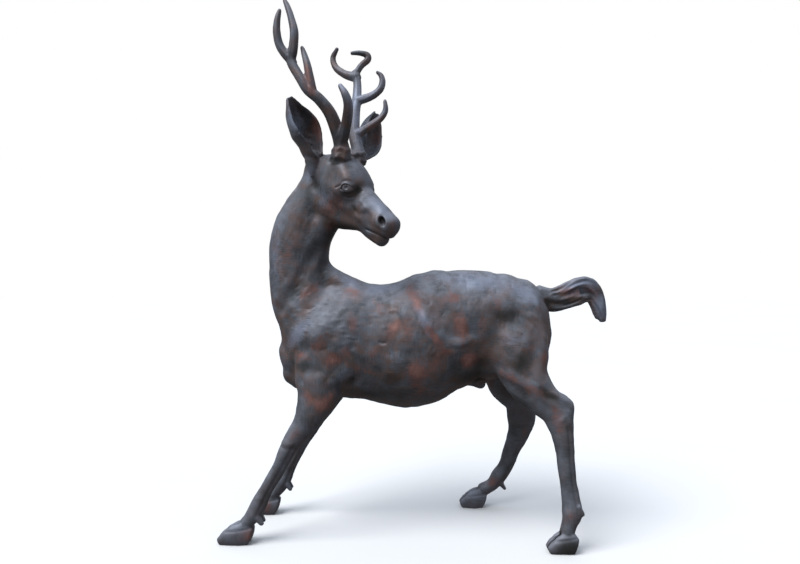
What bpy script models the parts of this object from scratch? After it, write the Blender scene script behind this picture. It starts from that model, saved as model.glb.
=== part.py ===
"""A life-size cast iron stag, standing braced with its head turned back over its left shoulder.

One closed solid, for the statue is one casting. It faces -X and its left side is towards -Y.
Every form is given in hundredths of the height at the withers, with x growing towards the tail,
y towards the stag's right side and z up from the ground.
"""

import math

import bmesh
import bpy
import numpy as np

WITHERS_HEIGHT = 1.0  # metres, ground to the top of the back
UNIT = WITHERS_HEIGHT / 100  # the statue's own unit
TRIANGLES = 9600  # of the finished solid
FLESH_VOXEL = 0.8  # units, for the body and limbs
FINE_VOXEL = 0.5  # for antlers, ears, hooves and tail

BODY_ACROSS = np.array([0.0, 1.0, 0.0])
UPWARDS = np.array([0.0, 0.0, 1.0])
LEFT, RIGHT = -1, 1
BOTH = (LEFT, RIGHT)

# The head starts at the nape and looks out over the left side, nose down.
HEAD_START = np.array([-34.5, -3.0, 148.5])
HEAD_YAW = math.radians(33)
HEAD_PITCH = math.radians(40)
LEVEL = np.array([math.cos(HEAD_YAW), -math.sin(HEAD_YAW), 0.0])
NOSEWARDS = math.cos(HEAD_PITCH) * LEVEL - math.sin(HEAD_PITCH) * UPWARDS
BROWWARDS = math.sin(HEAD_PITCH) * LEVEL + math.cos(HEAD_PITCH) * UPWARDS
CHEEKWARDS = np.array([-math.sin(HEAD_YAW), -math.cos(HEAD_YAW), 0.0])

# Body forms. A station is x, y, z of its centre, half its width and half its depth.
TORSO = [
    (-42.0, 0, 67.5, 8.5, 10.7),
    (-37.0, 0, 71.0, 13.0, 15.5),
    (-31.5, 0, 75.5, 15.5, 22.3),
    (-21.0, 0, 76.4, 16.5, 23.6),
    (-10.0, 0, 75.4, 16.5, 23.8),
    (2.0, 0, 74.4, 17.9, 25.6),
    (7.5, 0, 76.2, 18.5, 25.6),
    (13.5, 0, 79.2, 18.3, 24.8),
    (20.0, 0, 80.9, 17.8, 24.5),
    (29.5, 0, 83.0, 16.5, 21.8),
    (38.0, 0, 81.8, 15.5, 21.7),
    (46.0, 0, 82.6, 15.0, 20.9),
    (52.0, 0, 83.6, 13.0, 18.0),
]
NECK = [
    (-30.0, 0, 72.0, 13.0, 17.0),
    (-34.8, 0, 84.0, 12.5, 15.0),
    (-38.9, 0, 92.5, 11.5, 13.4),
    (-40.7, 0, 101.0, 10.5, 12.7),
    (-41.0, -0.5, 108.0, 9.8, 12.2),
    (-40.7, -1.0, 115.0, 9.4, 12.1),
    (-39.0, -1.5, 121.5, 9.0, 11.9),
    (-36.4, -2.2, 127.0, 8.6, 11.2),
    (-33.5, -3.0, 132.0, 8.3, 10.4),
    (-31.0, -3.8, 137.0, 8.0, 9.8),
]
THROAT = [
    (-35.0, -2.0, 108.0, 6.5, 5.5),
    (-34.2, -3.0, 114.0, 6.5, 5.5),
    (-32.4, -4.5, 119.5, 6.5, 5.8),
    (-29.0, -7.0, 124.6, 5.5, 5.8),
]
BRISKET = [
    (-43.0, 0, 64.6, 7.0, 6.6),
    (-38.0, 0, 62.8, 9.5, 7.4),
    (-30.0, 0, 60.0, 10.5, 8.0),
]
SHEATH = [
    (24.0, 0, 61.8, 2.4, 2.3),
    (29.0, 0, 59.5, 2.3, 2.3),
    (33.6, 0, 58.4, 2.1, 2.2),
]
CREST = [
    (-34.0, 0, 108.0, 5.0, 4.0),
    (-29.5, 0, 102.4, 6.5, 4.5),
    (-22.0, 0, 98.9, 7.5, 4.0),
    (-13.0, 0, 95.2, 8.0, 3.6),
]
NEAR_FORELEG = [
    (-28.0, -9.0, 76.0, 6.5, 13.0),
    (-31.0, -10.5, 63.5, 6.2, 10.5),
    (-32.0, -11.8, 55.0, 5.2, 8.2),
    (-36.0, -12.8, 46.2, 4.3, 5.3),
    (-40.0, -13.5, 40.5, 3.8, 4.2),
    (-42.0, -13.8, 37.5, 3.7, 3.8),
    (-44.4, -14.2, 32.8, 2.9, 3.1),
    (-47.4, -14.6, 27.0, 2.5, 2.8),
    (-51.6, -15.0, 19.5, 2.5, 2.7),
    (-54.6, -15.2, 13.8, 3.1, 3.3),
    (-57.4, -15.3, 9.2, 3.0, 2.8),
    (-59.4, -15.3, 6.8, 3.2, 2.8),
]
FAR_FORELEG = [
    (-28.0, 9.0, 76.0, 6.5, 13.0),
    (-29.5, 10.5, 63.5, 6.2, 10.0),
    (-30.0, 11.8, 55.0, 5.2, 7.6),
    (-34.0, 12.8, 46.2, 4.3, 5.3),
    (-37.8, 13.5, 39.8, 3.8, 4.3),
    (-39.4, 13.7, 36.6, 3.7, 4.1),
    (-42.2, 14.1, 31.3, 2.9, 3.2),
    (-44.7, 14.5, 26.0, 2.5, 2.9),
    (-47.8, 15.0, 19.4, 2.5, 2.8),
    (-50.4, 15.2, 14.0, 3.1, 3.3),
    (-53.3, 15.3, 9.8, 3.0, 2.9),
    (-56.0, 15.3, 7.2, 3.2, 2.9),
]
NEAR_HIND_LEG = [
    (44.6, -9.0, 84.0, 6.5, 12.4),
    (46.5, -11.5, 72.0, 6.5, 11.9),
    (48.3, -13.5, 63.5, 6.0, 9.3),
    (53.0, -15.5, 56.5, 4.9, 7.2),
    (58.3, -17.2, 51.5, 3.9, 5.8),
    (60.6, -18.3, 46.5, 3.5, 5.3),
    (61.6, -19.2, 41.0, 3.1, 4.2),
    (62.2, -20.5, 33.0, 2.7, 3.5),
    (62.8, -21.5, 25.5, 2.4, 3.3),
    (63.6, -22.2, 19.0, 2.5, 3.6),
    (64.0, -22.8, 14.4, 3.2, 4.0),
    (62.6, -23.2, 10.0, 3.0, 2.8),
    (61.8, -23.5, 7.2, 3.2, 3.0),
]
NEAR_HOCK = [  # the heel bone and its tendon, behind the near hind leg
    (54.5, -15.8, 59.6, 2.0, 2.6),
    (58.5, -16.5, 56.6, 2.2, 2.5),
    (63.6, -17.3, 53.2, 2.3, 2.6),
    (63.6, -18.0, 48.6, 2.0, 2.3),
]
FAR_HIND_LEG = [
    (43.0, 9.0, 84.0, 6.5, 12.6),
    (43.0, 11.5, 70.0, 6.3, 11.0),
    (46.4, 13.5, 57.0, 5.8, 8.9),
    (51.7, 15.8, 48.5, 4.9, 6.5),
    (52.9, 17.4, 42.0, 4.0, 6.5),
    (52.7, 18.4, 37.0, 3.5, 5.6),
    (51.3, 19.3, 31.5, 3.0, 4.5),
    (49.1, 20.2, 25.5, 2.6, 3.8),
    (46.9, 21.2, 19.0, 2.5, 3.5),
    (44.0, 22.0, 14.0, 3.1, 3.5),
    (40.7, 22.8, 9.8, 3.0, 2.9),
    (36.8, 23.4, 7.4, 3.2, 3.0),
]

# The head's forms: distance nosewards, height browwards, half width and half depth.
SKULL = [
    (3.0, -1.5, 6.0, 6.4),
    (7.0, -0.4, 7.4, 7.0),
    (12.0, 1.5, 8.2, 8.6),
    (18.0, 2.5, 8.6, 9.8),
    (23.0, 1.6, 8.5, 8.9),
    (27.0, 0.4, 6.8, 7.4),
    (32.0, 0.6, 5.3, 6.8),
    (37.0, 0.8, 4.8, 6.2),
    (42.5, 1.0, 5.0, 5.7),
    (46.7, 2.3, 4.5, 4.3),
]
JAW = [
    (8.0, -7.5, 6.3, 7.0),
    (14.0, -8.0, 7.0, 7.5),
    (20.0, -8.0, 6.6, 6.9),
    (26.0, -7.4, 5.4, 6.0),
    (31.0, -6.1, 4.2, 4.3),
    (36.0, -4.8, 3.5, 3.0),
    (41.4, -4.8, 3.3, 2.6),
    (45.8, -4.2, 3.0, 2.6),
]

# Each hoof has two claws: the x of its tip and of its heel, its y, height and half width.
HOOVES = [
    (-69.4, -55.6, -15.5, 8.2, 3.9),
    (-64.8, -51.4, 15.4, 8.4, 3.9),
    (54.8, 65.9, -23.6, 7.8, 3.8),
    (26.8, 38.7, 23.4, 8.0, 3.8),
]
# A claw from heel to tip: shares of the length, of the height and of the half width.
CLAW = [
    (0.12, 0.80, 0.40),
    (0.35, 1.00, 0.50),
    (0.62, 0.80, 0.50),
    (0.84, 0.52, 0.42),
    (0.96, 0.32, 0.27),
]
# Dewclaws: x, y and z between the pair.
DEWCLAWS = [
    (-52.9, -15.2, 8.8),
    (-47.4, 15.2, 11.9),
    (67.2, -22.8, 15.2),
    (45.8, 22.0, 10.0),
]

# Tail locks. A station is x, y, z and half the width and depth.
TAIL = [
    [
        (56.5, 0, 93.3, 3.4, 5.2),
        (62.0, 0, 92.9, 3.0, 4.3),
        (68.0, 0, 94.0, 2.8, 4.3),
        (72.5, 0, 95.0, 2.2, 3.7),
    ],
    [
        (60.0, -0.8, 94.5, 1.8, 2.2),
        (66.0, -1.0, 96.3, 2.0, 2.3),
        (71.8, -1.0, 99.2, 2.0, 2.4),
        (77.0, -0.6, 99.4, 2.0, 2.6),
        (80.7, 0, 95.4, 2.0, 2.5),
        (82.0, 0.3, 89.4, 1.8, 2.2),
        (82.8, 0.4, 84.1, 1.2, 1.5),
    ],
    [
        (60.0, 1.2, 91.9, 1.8, 2.4),
        (66.0, 1.4, 93.3, 2.0, 2.6),
        (71.8, 1.2, 95.5, 2.0, 2.6),
        (76.4, 0.8, 95.4, 1.8, 2.4),
        (79.8, 0.8, 90.8, 1.6, 2.3),
        (81.6, 0.8, 85.6, 1.3, 1.8),
    ],
    [
        (60.0, -0.6, 90.2, 1.8, 2.2),
        (66.0, -0.8, 90.6, 1.9, 2.2),
        (71.0, -0.6, 91.8, 1.8, 2.0),
        (75.2, 0, 93.4, 1.5, 1.8),
        (78.4, 0.2, 93.0, 1.0, 1.2),
    ],
]

# Antler branches: outwards, backwards and upwards from the burr, then the branch's radius.
BURRS = {RIGHT: (-22.4, -16.4, 148.0), LEFT: (-17.0, -8.0, 148.0)}
ANTLERS = {
    RIGHT: [
        [
            (0, 1.5, -3.5, 3.2),
            (0, 0.2, 0, 4.0),
            (0, -0.1, 1.6, 3.8),
            (0.3, -0.3, 3.6, 3.0),
            (2.0, 0, 8.5, 2.7),
            (5.5, 0.9, 15.0, 2.35),
            (9.0, 3.5, 20.0, 2.1),
            (11.5, 7.0, 23.5, 2.0),
            (12.5, 9.1, 27.0, 1.9),
            (13.0, 11.9, 31.6, 1.85),
            (13.2, 13.5, 35.0, 1.8),
            (13.0, 12.8, 39.0, 1.8),
            (12.5, 12.6, 45.5, 1.65),
            (12.0, 14.3, 51.0, 1.4),
            (11.5, 16.8, 56.5, 1.15),
            (11.0, 19.0, 60.0, 0.8),
        ],
        [
            (12.8, 12.8, 34.0, 1.7),
            (15.0, 17.0, 40.0, 1.65),
            (16.0, 18.0, 45.5, 1.45),
            (16.0, 17.8, 50.5, 1.2),
            (15.5, 17.1, 54.0, 0.8),
        ],
        [
            (10.6, 5.2, 21.5, 1.9),
            (11.0, 6.3, 28.5, 1.6),
            (11.0, 7.6, 33.5, 1.35),
            (10.2, 10.1, 38.6, 1.0),
            (10.0, 11.0, 40.6, 0.7),
        ],
        [
            (0.8, -0.8, 4.5, 2.1),
            (3.6, -5.2, 10.5, 2.0),
            (5.8, -7.8, 16.0, 1.8),
            (7.0, -7.6, 20.0, 1.5),
            (7.6, -5.4, 24.0, 0.9),
        ],
    ],
    LEFT: [
        [
            (0, 1.5, -3.5, 3.2),
            (0, 0, 0, 3.7),
            (0, -0.3, 1.6, 3.5),
            (0.3, -0.2, 3.6, 2.7),
            (2.0, 3.0, 11.8, 2.4),
            (5.5, 5.2, 19.6, 2.1),
            (8.0, 6.2, 25.8, 1.95),
            (10.0, 7.3, 30.5, 1.8),
            (11.5, 8.4, 35.2, 1.7),
            (12.5, 10.0, 40.0, 1.6),
        ],
        [
            (12.3, 9.6, 38.4, 1.8),
            (12.0, 14.9, 39.8, 1.65),
            (12.0, 20.3, 43.9, 1.45),
            (12.0, 22.0, 48.2, 1.25),
            (12.0, 19.6, 51.8, 0.9),
        ],
        [
            (12.3, 9.8, 39.4, 1.5),
            (14.0, 8.1, 43.0, 1.35),
            (16.0, 6.4, 45.6, 1.4),
            (16.0, 6.5, 47.6, 1.3),
            (14.0, 9.4, 48.5, 1.1),
            (12.0, 11.8, 48.3, 0.8),
        ],
        [
            (7.8, 5.8, 26.2, 1.8),
            (10.0, 0.5, 27.7, 1.65),
            (12.0, -2.6, 30.4, 1.5),
            (13.0, -3.3, 33.6, 1.3),
            (13.0, -2.7, 36.4, 1.05),
            (12.0, -1.2, 38.0, 0.7),
        ],
        [
            (1.4, 1.0, 10.6, 1.7),
            (5.0, -3.1, 14.3, 1.5),
            (7.5, -6.2, 17.2, 1.35),
            (8.5, -7.9, 20.4, 1.15),
            (8.5, -7.6, 24.4, 0.75),
        ],
    ],
}

# Each brow ridge: distance nosewards, outwards and browwards, and its radius.
BROW = [
    (14.0, 4.8, 8.2, 2.3),
    (19.0, 6.1, 7.5, 2.3),
    (23.5, 6.7, 6.3, 2.2),
    (26.5, 6.0, 4.9, 1.7),
]

# Ears: x, y and z of the middle of the opening, half its width and how deep the cup is.
RIGHT_EAR = [
    (-31.0, -14.0, 148.6, 1.0, 5.6),
    (-32.1, -14.4, 150.9, 2.6, 6.0),
    (-32.8, -14.8, 153.8, 3.7, 6.4),
    (-34.2, -15.6, 157.6, 5.4, 7.2),
    (-35.8, -16.6, 160.4, 5.5, 6.6),
    (-37.6, -17.2, 162.8, 4.8, 5.4),
    (-39.2, -18.0, 165.1, 3.3, 4.0),
    (-40.6, -18.8, 167.6, 1.8, 1.2),
    (-41.7, -19.4, 169.8, 0.5, 0.3),
]
LEFT_EAR = [
    (-14.8, 1.0, 151.0, 1.0, 5.0),
    (-12.8, 2.0, 153.6, 2.6, 5.4),
    (-11.2, 3.0, 156.6, 4.2, 6.0),
    (-10.7, 4.2, 160.0, 4.9, 6.4),
    (-10.3, 5.6, 163.6, 4.4, 5.7),
    (-10.0, 6.8, 166.8, 3.3, 4.2),
    (-9.8, 7.8, 169.4, 1.9, 1.3),
    (-9.7, 8.4, 171.6, 0.5, 0.3),
]
EARS = [RIGHT_EAR, LEFT_EAR]
EAR_THICKNESS = 1.3
EAR_STALKS = [
    [
        (-33.2, -11.4, 141.6, 1.9, 2.0),
        (-33.6, -12.0, 144.5, 2.7, 2.7),
        (-34.0, -12.4, 147.2, 2.9, 3.1),
        (-34.0, -12.2, 149.4, 2.4, 2.8),
    ],
    [
        (-23.5, -0.5, 145.5, 2.4, 2.4),
        (-21.0, 1.8, 148.8, 3.0, 3.0),
        (-18.2, 3.6, 152.0, 3.1, 3.1),
        (-16.4, 4.4, 154.0, 2.4, 2.4),
    ],
]

# Each eyeball on the head: nosewards, outwards, browwards and its radius.
EYE = (25.2, 6.6, 3.6, 1.9)

# Where forms meet, the skin is softened: a centre, how far it reaches, and how many times.
SOFTENED = [
    (-36.0, 0, 90.0, 26.0, 14),
    (-22.0, -12.0, 62.0, 12.0, 14),
    (-22.0, 12.0, 62.0, 12.0, 14),
    (44.0, -12.0, 72.0, 18.0, 14),
    (42.0, 12.0, 72.0, 18.0, 14),
    (-28.0, -6.0, 140.0, 22.0, 5),
    (-19.0, -13.0, 139.0, 12.0, 8),
    (-24.0, -5.0, 143.0, 12.0, 8),
    (58.0, 0, 92.0, 9.0, 8),
]

# Muscles seen from the side: x, z, half length, half width, lean in degrees, height, sides.
MUSCLES = [
    (-31.5, 80.0, 8.5, 6.0, 60, 1.2, BOTH),  # point of the shoulder
    (-24.0, 84.0, 17.0, 7.0, 72, 1.0, BOTH),  # shoulder blade
    (-13.5, 80.0, 14.0, 6.0, 80, -0.9, BOTH),  # hollow behind the shoulder
    (-33.0, 68.0, 6.0, 4.5, 20, -1.0, BOTH),  # hollow above the arm
    (-29.5, 62.0, 7.0, 5.0, 60, 1.0, BOTH),  # upper arm
    (-19.0, 62.0, 7.0, 4.5, 20, -0.9, BOTH),  # behind the elbow
    (10.0, 87.0, 18.0, 4.0, -61, 0.7, BOTH),  # last rib
    (18.5, 86.0, 15.0, 4.5, -61, -0.8, BOTH),  # flank behind it
    (-1.5, 84.0, 17.0, 4.0, -72, -0.4, BOTH),
    (4.0, 66.0, 16.0, 7.0, -12, 0.6, BOTH),  # belly
    (23.0, 76.0, 9.0, 4.0, 16, 0.8, BOTH),  # fold of the flank
    (29.0, 82.0, 7.0, 6.0, 30, -1.1, BOTH),
    (38.5, 92.0, 8.0, 6.0, -10, 1.1, BOTH),  # point of the hip
    (51.0, 90.0, 8.0, 5.5, -25, 0.8, BOTH),  # rump
    (43.0, 84.0, 9.0, 3.5, 5, -1.0, BOTH),
    (41.0, 73.0, 11.0, 8.0, 80, 1.2, BOTH),  # thigh
    (51.5, 72.0, 13.0, 3.0, 82, -0.7, BOTH),
    (55.5, 76.0, 12.0, 4.0, 84, 0.6, BOTH),  # back of the thigh
    (35.0, 64.0, 6.0, 4.5, 0, 0.9, BOTH),  # stifle
    (56.0, 57.0, 6.0, 2.2, -42, -0.9, (LEFT,)),  # before the hock tendon
    (53.0, 47.0, 5.0, 2.0, -50, -0.8, (RIGHT,)),
]
NECK_FOLD = [(-32.0, -10.0, 113.0), (-36.0, -11.0, 106.0), (-40.0, -11.5, 99.0), (-47.0, -8.5, 89.5)]
# Folds: the line each one follows, how far it reaches and how deep it is.
FOLDS = [
    (NECK_FOLD, 4.2, 1.2),
    ([(x, -y, z) for x, y, z in NECK_FOLD], 4.2, 1.2),
    ([(-49.0, 0, 84.0), (-49.5, 0, 75.0), (-47.0, 0, 64.0)], 4.0, 1.0),  # down the breast
    ([(63.0, 0, 88.0), (62.0, 0, 78.0), (58.0, 0, 66.0)], 4.0, 1.6),  # between the thighs
]
# The face, both sides: nosewards, outwards, browwards, reach and height.
FACE = [
    (19.0, 8.0, -5.0, 9.0, 0.9),  # cheek
    (28.5, 6.0, 1.5, 4.5, -1.1),  # hollow before the eye
    (25.2, 7.8, 3.4, 3.2, -1.3),  # eye socket
    (18.5, 8.0, 4.0, 5.0, -0.6),  # temple
    (33.5, 5.0, 1.0, 4.0, 0.5),  # cheekbone's end
    (37.0, 4.5, -3.0, 4.0, 0.4),  # lips
    (43.5, 4.6, 1.5, 3.4, 0.7),  # wing of the nostril
    (44.6, 4.9, 2.6, 2.2, -1.8),  # nostril
    (25.2, 7.4, 3.4, 2.2, 1.5),  # eyeball
]
FACE_LINES = [
    ([(38.5, 4.6, -4.4), (42.0, 4.4, -3.5), (45.5, 3.8, -2.3), (49.0, 0.0, -2.0)], 0.9, 0.7),  # mouth
    ([(14.0, 7.0, -13.0), (22.0, 6.6, -11.0), (30.0, 4.8, -8.2)], 2.5, 0.4),  # edge of the jaw
]

# Where the carving is finer, and so keeps more triangles: a centre and how far it reaches.
FINER = [
    (-14.0, -16.0, 130.0, 26.0),
    (-28.0, -8.0, 150.0, 30.0),
    (-22.0, -8.0, 180.0, 45.0),
    (-60.0, -15.0, 4.0, 14.0),
    (-55.0, 15.0, 4.0, 14.0),
    (62.0, -23.0, 4.0, 14.0),
    (34.0, 23.0, 4.0, 14.0),
    (76.0, 0, 95.0, 18.0),
]


def flowing(stations, steps):
    """Rows on a Catmull-Rom curve through the stations."""
    rows = np.array(stations, float)
    rows = np.vstack([2 * rows[0] - rows[1], rows, 2 * rows[-1] - rows[-2]])
    found = []
    for a, b, c, d in zip(rows, rows[1:], rows[2:], rows[3:]):
        for t in np.arange(steps) / steps:
            straight = 0.5 * t * (c - a)
            bend = t**2 * (a - 2.5 * b + 2 * c - 0.5 * d)
            twist = 0.5 * t**3 * (3 * b - a - 3 * c + d)
            found.append(b + straight + bend + twist)
    found.append(rows[-2])
    return np.array(found)


def unit(rows):
    return rows / np.linalg.norm(rows, axis=-1, keepdims=True)


def skin(rings):
    """Vertices and faces of a closed tube: rings of points, with a pole at each end."""
    count, sides = rings.shape[:2]
    verts = np.vstack([rings.reshape(-1, 3), rings[0].mean(0), rings[-1].mean(0)])
    first, last = count * sides, count * sides + 1
    faces = []
    for j in range(sides):
        k = (j + 1) % sides
        for i in range(count - 1):
            faces.append((i * sides + j, i * sides + k, (i + 1) * sides + k, (i + 1) * sides + j))
        faces.append((first, k, j))
        faces.append((last, (count - 1) * sides + j, (count - 1) * sides + k))
    return verts, faces


def loft(stations, across=BODY_ACROSS, sides=20, steps=4, dome=0.7, square=1.0):
    """A round-ended form of oval sections, squarer ones if square is under 1."""
    rows = flowing(stations, steps)
    along = unit(np.gradient(rows[:, :3], axis=0))
    turns = np.radians([72, 45, 20])
    ends = []
    for row, way in ((rows[0], -along[0]), (rows[-1], along[-1])):
        reach = dome * min(row[3:5])
        cap = [[*(row[:3] + way * reach * math.sin(t)), *(row[3:5] * math.cos(t))] for t in turns]
        ends.append(cap)
    rows = np.vstack([ends[0], rows, ends[1][::-1]])
    along = np.vstack([[along[0]] * len(turns), along, [along[-1]] * len(turns)])
    side = unit(across - (along @ across)[:, None] * along)
    front = np.cross(along, side)
    angle = np.arange(sides) * 2 * math.pi / sides
    cosine, sine = np.cos(angle)[:, None], np.sin(angle)[:, None]
    wide = rows[:, 3:4, None] * np.sign(cosine) * np.abs(cosine) ** square * side[:, None]
    deep = rows[:, 4:5, None] * np.sign(sine) * np.abs(sine) ** square * front[:, None]
    return skin(rows[:, None, :3] + wide + deep)


def of_head(nosewards, cheekwards=0.0, browwards=0.0):
    """A point given along the head's own axes."""
    return HEAD_START + nosewards * NOSEWARDS + cheekwards * CHEEKWARDS + browwards * BROWWARDS


def head_loft(stations, square):
    rows = [(*of_head(nose, 0, up), wide, deep) for nose, up, wide, deep in stations]
    return loft(rows, CHEEKWARDS, sides=28, square=square)


def eyeball(side):
    nosewards, out, browwards, radius = EYE
    middle = of_head(nosewards, side * out, browwards)
    rows = [(*(middle + i * NOSEWARDS), radius, radius) for i in (-0.1, 0, 0.1)]
    return loft(rows, sides=16, dome=1.0)


def brow_ridge(side):
    rows = [(*of_head(nose, side * out, up), radius, radius) for nose, out, up, radius in BROW]
    return loft(rows, CHEEKWARDS, sides=14)


def antler(side, branch):
    """One branch, its points taken outwards, backwards and upwards from the burr."""
    stations = []
    for out, back, up, radius in branch:
        point = BURRS[side] + side * out * CHEEKWARDS - back * LEVEL + up * UPWARDS
        stations.append((*point, radius, radius))
    return loft(stations, CHEEKWARDS, sides=14)


def ear(leaf):
    """A cup that opens forwards, level, closed at its foot and pointed at its tip."""
    rows = flowing(leaf, 2)
    along = unit(np.gradient(rows[:, :3], axis=0))
    hollow = unit(LEVEL - (along @ LEVEL)[:, None] * along)
    side = np.cross(along, hollow)
    turn = np.radians(np.linspace(-90, 90, 13))
    rings = []
    for row, out, across in zip(rows, hollow, side):
        lift = np.outer(np.sin(turn), across) - np.outer(np.cos(turn), out)
        front = row[:3] + np.outer(np.sin(turn) * row[3], across)
        front -= np.outer(np.cos(turn) * row[4], out)
        back = front + lift * EAR_THICKNESS
        rims = (front[[0, -1]] + back[[0, -1]]) / 2 + out * EAR_THICKNESS / 2
        rings.append(np.vstack([rims[0], front, rims[1], back[::-1]]))
    return skin(np.array(rings))


def claws(tip, heel, y, height, half_width):
    """The two claws of a hoof, from heel to tip along X, with their soles just under the ground."""
    long = heel - tip
    forms = []
    for side in BOTH:
        stations = []
        for share, tall, wide in CLAW:
            half = height * tall / 2
            aside = y + side * half_width * (0.50 - 0.12 * share)
            stations.append((heel - share * long, aside, half - 0.6, half_width * wide, half + 0.6))
        forms.append(loft(stations, dome=0.45))
    return forms


def dewclaws(x, y, z):
    forms = []
    for side in BOTH:
        top, tip = (x - 1.6, y + side * 1.5, z + 1.6), (x + 0.4, y + side * 1.7, z - 1.2)
        forms.append(loft([(*top, 1.2, 1.3), (*tip, 0.8, 0.8)]))
    return forms


def mesh_of(forms):
    """One mesh of all the forms, in metres."""
    verts, faces, start = [], [], 0
    for points, polygons in forms:
        verts.append(points * UNIT)
        faces += [tuple(start + i for i in polygon) for polygon in polygons]
        start += len(points)
    mesh = bpy.data.meshes.new("forms")
    mesh.from_pydata(np.vstack(verts), [], faces)
    return mesh


def changed(mesh, *modifiers):
    """The mesh after these modifiers, each a type and its settings."""
    maker = bpy.data.objects.new("maker", mesh)
    bpy.context.scene.collection.objects.link(maker)
    for kind, settings in modifiers:
        modifier = maker.modifiers.new(kind.lower(), kind)
        for name, value in settings.items():
            setattr(modifier, name, value)
    graph = bpy.context.evaluated_depsgraph_get()
    result = bpy.data.meshes.new_from_object(maker.evaluated_get(graph))
    bpy.data.objects.remove(maker)
    return result


def melted(mesh, voxel, passes):
    """The forms of a mesh melted into one skin, evened with light smoothing."""
    return changed(
        mesh,
        ("REMESH", {"mode": "VOXEL", "voxel_size": voxel * UNIT}),
        ("SMOOTH", {"factor": 0.5, "iterations": passes}),
    )


def form_of(mesh):
    """A mesh as one more form to melt in."""
    return points_of(mesh), [tuple(face.vertices) for face in mesh.polygons]


def points_of(mesh):
    points = np.empty(len(mesh.vertices) * 3, np.float32)
    mesh.vertices.foreach_get("co", points)
    return points.reshape(-1, 3).astype(float) / UNIT


def normals_of(mesh):
    normals = np.empty(len(mesh.vertices) * 3, np.float32)
    mesh.vertices.foreach_get("normal", normals)
    return normals.reshape(-1, 3).astype(float)


def bell(distance):
    """1 at the middle, falling smoothly to 0 at a distance of 1."""
    return np.clip(1 - distance**2, 0, 1) ** 2


def settle(mesh, points):
    mesh.vertices.foreach_set("co", (points * UNIT).ravel())
    mesh.update()


def muscle(points, normals, x, z, long, short, lean, height, sides):
    """How far a bulge or a hollow seen from the side moves each point along its normal."""
    turn = math.radians(lean)
    dx, dz = points[:, 0] - x, points[:, 2] - z
    along = (dx * math.cos(turn) + dz * math.sin(turn)) / long
    off = (dz * math.cos(turn) - dx * math.sin(turn)) / short
    facing = np.zeros(len(points))
    for side in sides:
        facing = np.maximum(facing, np.clip(normals[:, 1] * side * 1.4 - 0.2, 0, 1))
    return height * bell(np.hypot(along, off)) * facing


def swelling(points, normals, centre, facing, reach, height):
    """The same around a centre, for points that face a given way."""
    near = bell(np.linalg.norm(points - centre, axis=1) / reach)
    return height * near * np.clip(normals @ facing + 0.3, 0, 1)


def crease(points, line, width, depth):
    """The same along a line of points, as a cut."""
    line = np.array(line, float)
    nearest = np.full(len(points), np.inf)
    for start, end in zip(line, line[1:]):
        step = end - start
        share = np.clip((points - start) @ step / (step @ step), 0, 1)
        gap = np.linalg.norm(points - start - share[:, None] * step, axis=1)
        nearest = np.minimum(nearest, gap)
    return -depth * bell(nearest / width)


def soften(mesh):
    """Evens the skin where forms meet."""
    points = points_of(mesh)
    ends = np.empty(len(mesh.edges) * 2, np.int32)
    mesh.edges.foreach_get("vertices", ends)
    ends = ends.reshape(-1, 2)
    joined = np.bincount(ends.ravel(), minlength=len(points))[:, None]
    for x, y, z, reach, passes in SOFTENED:
        share = bell(np.linalg.norm(points - (x, y, z), axis=1) / reach)[:, None]
        for _ in range(passes):
            around = np.zeros_like(points)
            np.add.at(around, ends[:, 0], points[ends[:, 1]])
            np.add.at(around, ends[:, 1], points[ends[:, 0]])
            points += share * (around / joined - points)
    settle(mesh, points)


def sculpt(mesh):
    points, normals = points_of(mesh), normals_of(mesh)
    moved = np.zeros(len(points))
    for numbers in MUSCLES:
        moved += muscle(points, normals, *numbers)
    for line, width, depth in FOLDS:
        moved += crease(points, line, width, depth)
    for nose, out, up, reach, height in FACE:
        for side in BOTH:
            centre = of_head(nose, side * out, up)
            moved += swelling(points, normals, centre, side * CHEEKWARDS, reach, height)
    for line, width, depth in FACE_LINES:
        for side in BOTH:
            path = [of_head(nose, side * out, up) for nose, out, up in line]
            moved += crease(points, path, width, depth)
    settle(mesh, points + moved[:, None] * normals)


def thinned(mesh):
    """Fewer triangles, kept closer together where the carving is finer."""
    maker = bpy.data.objects.new("maker", mesh)
    bpy.context.scene.collection.objects.link(maker)
    points = points_of(mesh)
    plain = maker.vertex_groups.new(name="plain")
    fine = np.zeros(len(points))
    for x, y, z, reach in FINER:
        fine = np.maximum(fine, bell(np.linalg.norm(points - (x, y, z), axis=1) / reach))
    for i, share in enumerate(np.round(1 - 0.35 * fine, 1)):
        plain.add([i], share, "REPLACE")
    fewer = maker.modifiers.new("fewer", "DECIMATE")
    fewer.ratio = TRIANGLES / sum(len(face.vertices) - 2 for face in mesh.polygons)
    fewer.vertex_group = plain.name
    graph = bpy.context.evaluated_depsgraph_get()
    result = bpy.data.meshes.new_from_object(maker.evaluated_get(graph))
    bpy.data.objects.remove(maker)
    return result


def stood(mesh):
    """Cuts the soles flat at the ground, and centres the statue over the origin."""
    bm = bmesh.new()
    bm.from_mesh(mesh)
    everything = bm.verts[:] + bm.edges[:] + bm.faces[:]
    ground = {"plane_co": (0, 0, 0), "plane_no": (0, 0, 1)}
    cut = bmesh.ops.bisect_plane(bm, geom=everything, clear_inner=True, **ground)
    rims = [edge for edge in cut["geom_cut"] if isinstance(edge, bmesh.types.BMEdge)]
    bmesh.ops.edgeloop_fill(bm, edges=rims)
    bmesh.ops.recalc_face_normals(bm, faces=bm.faces)
    for i in (0, 1):
        places = [vert.co[i] for vert in bm.verts]
        middle = (min(places) + max(places)) / 2
        for vert in bm.verts:
            vert.co[i] -= middle
    for face in bm.faces:
        face.smooth = True
    bm.to_mesh(mesh)
    bm.free()
    return mesh


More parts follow.
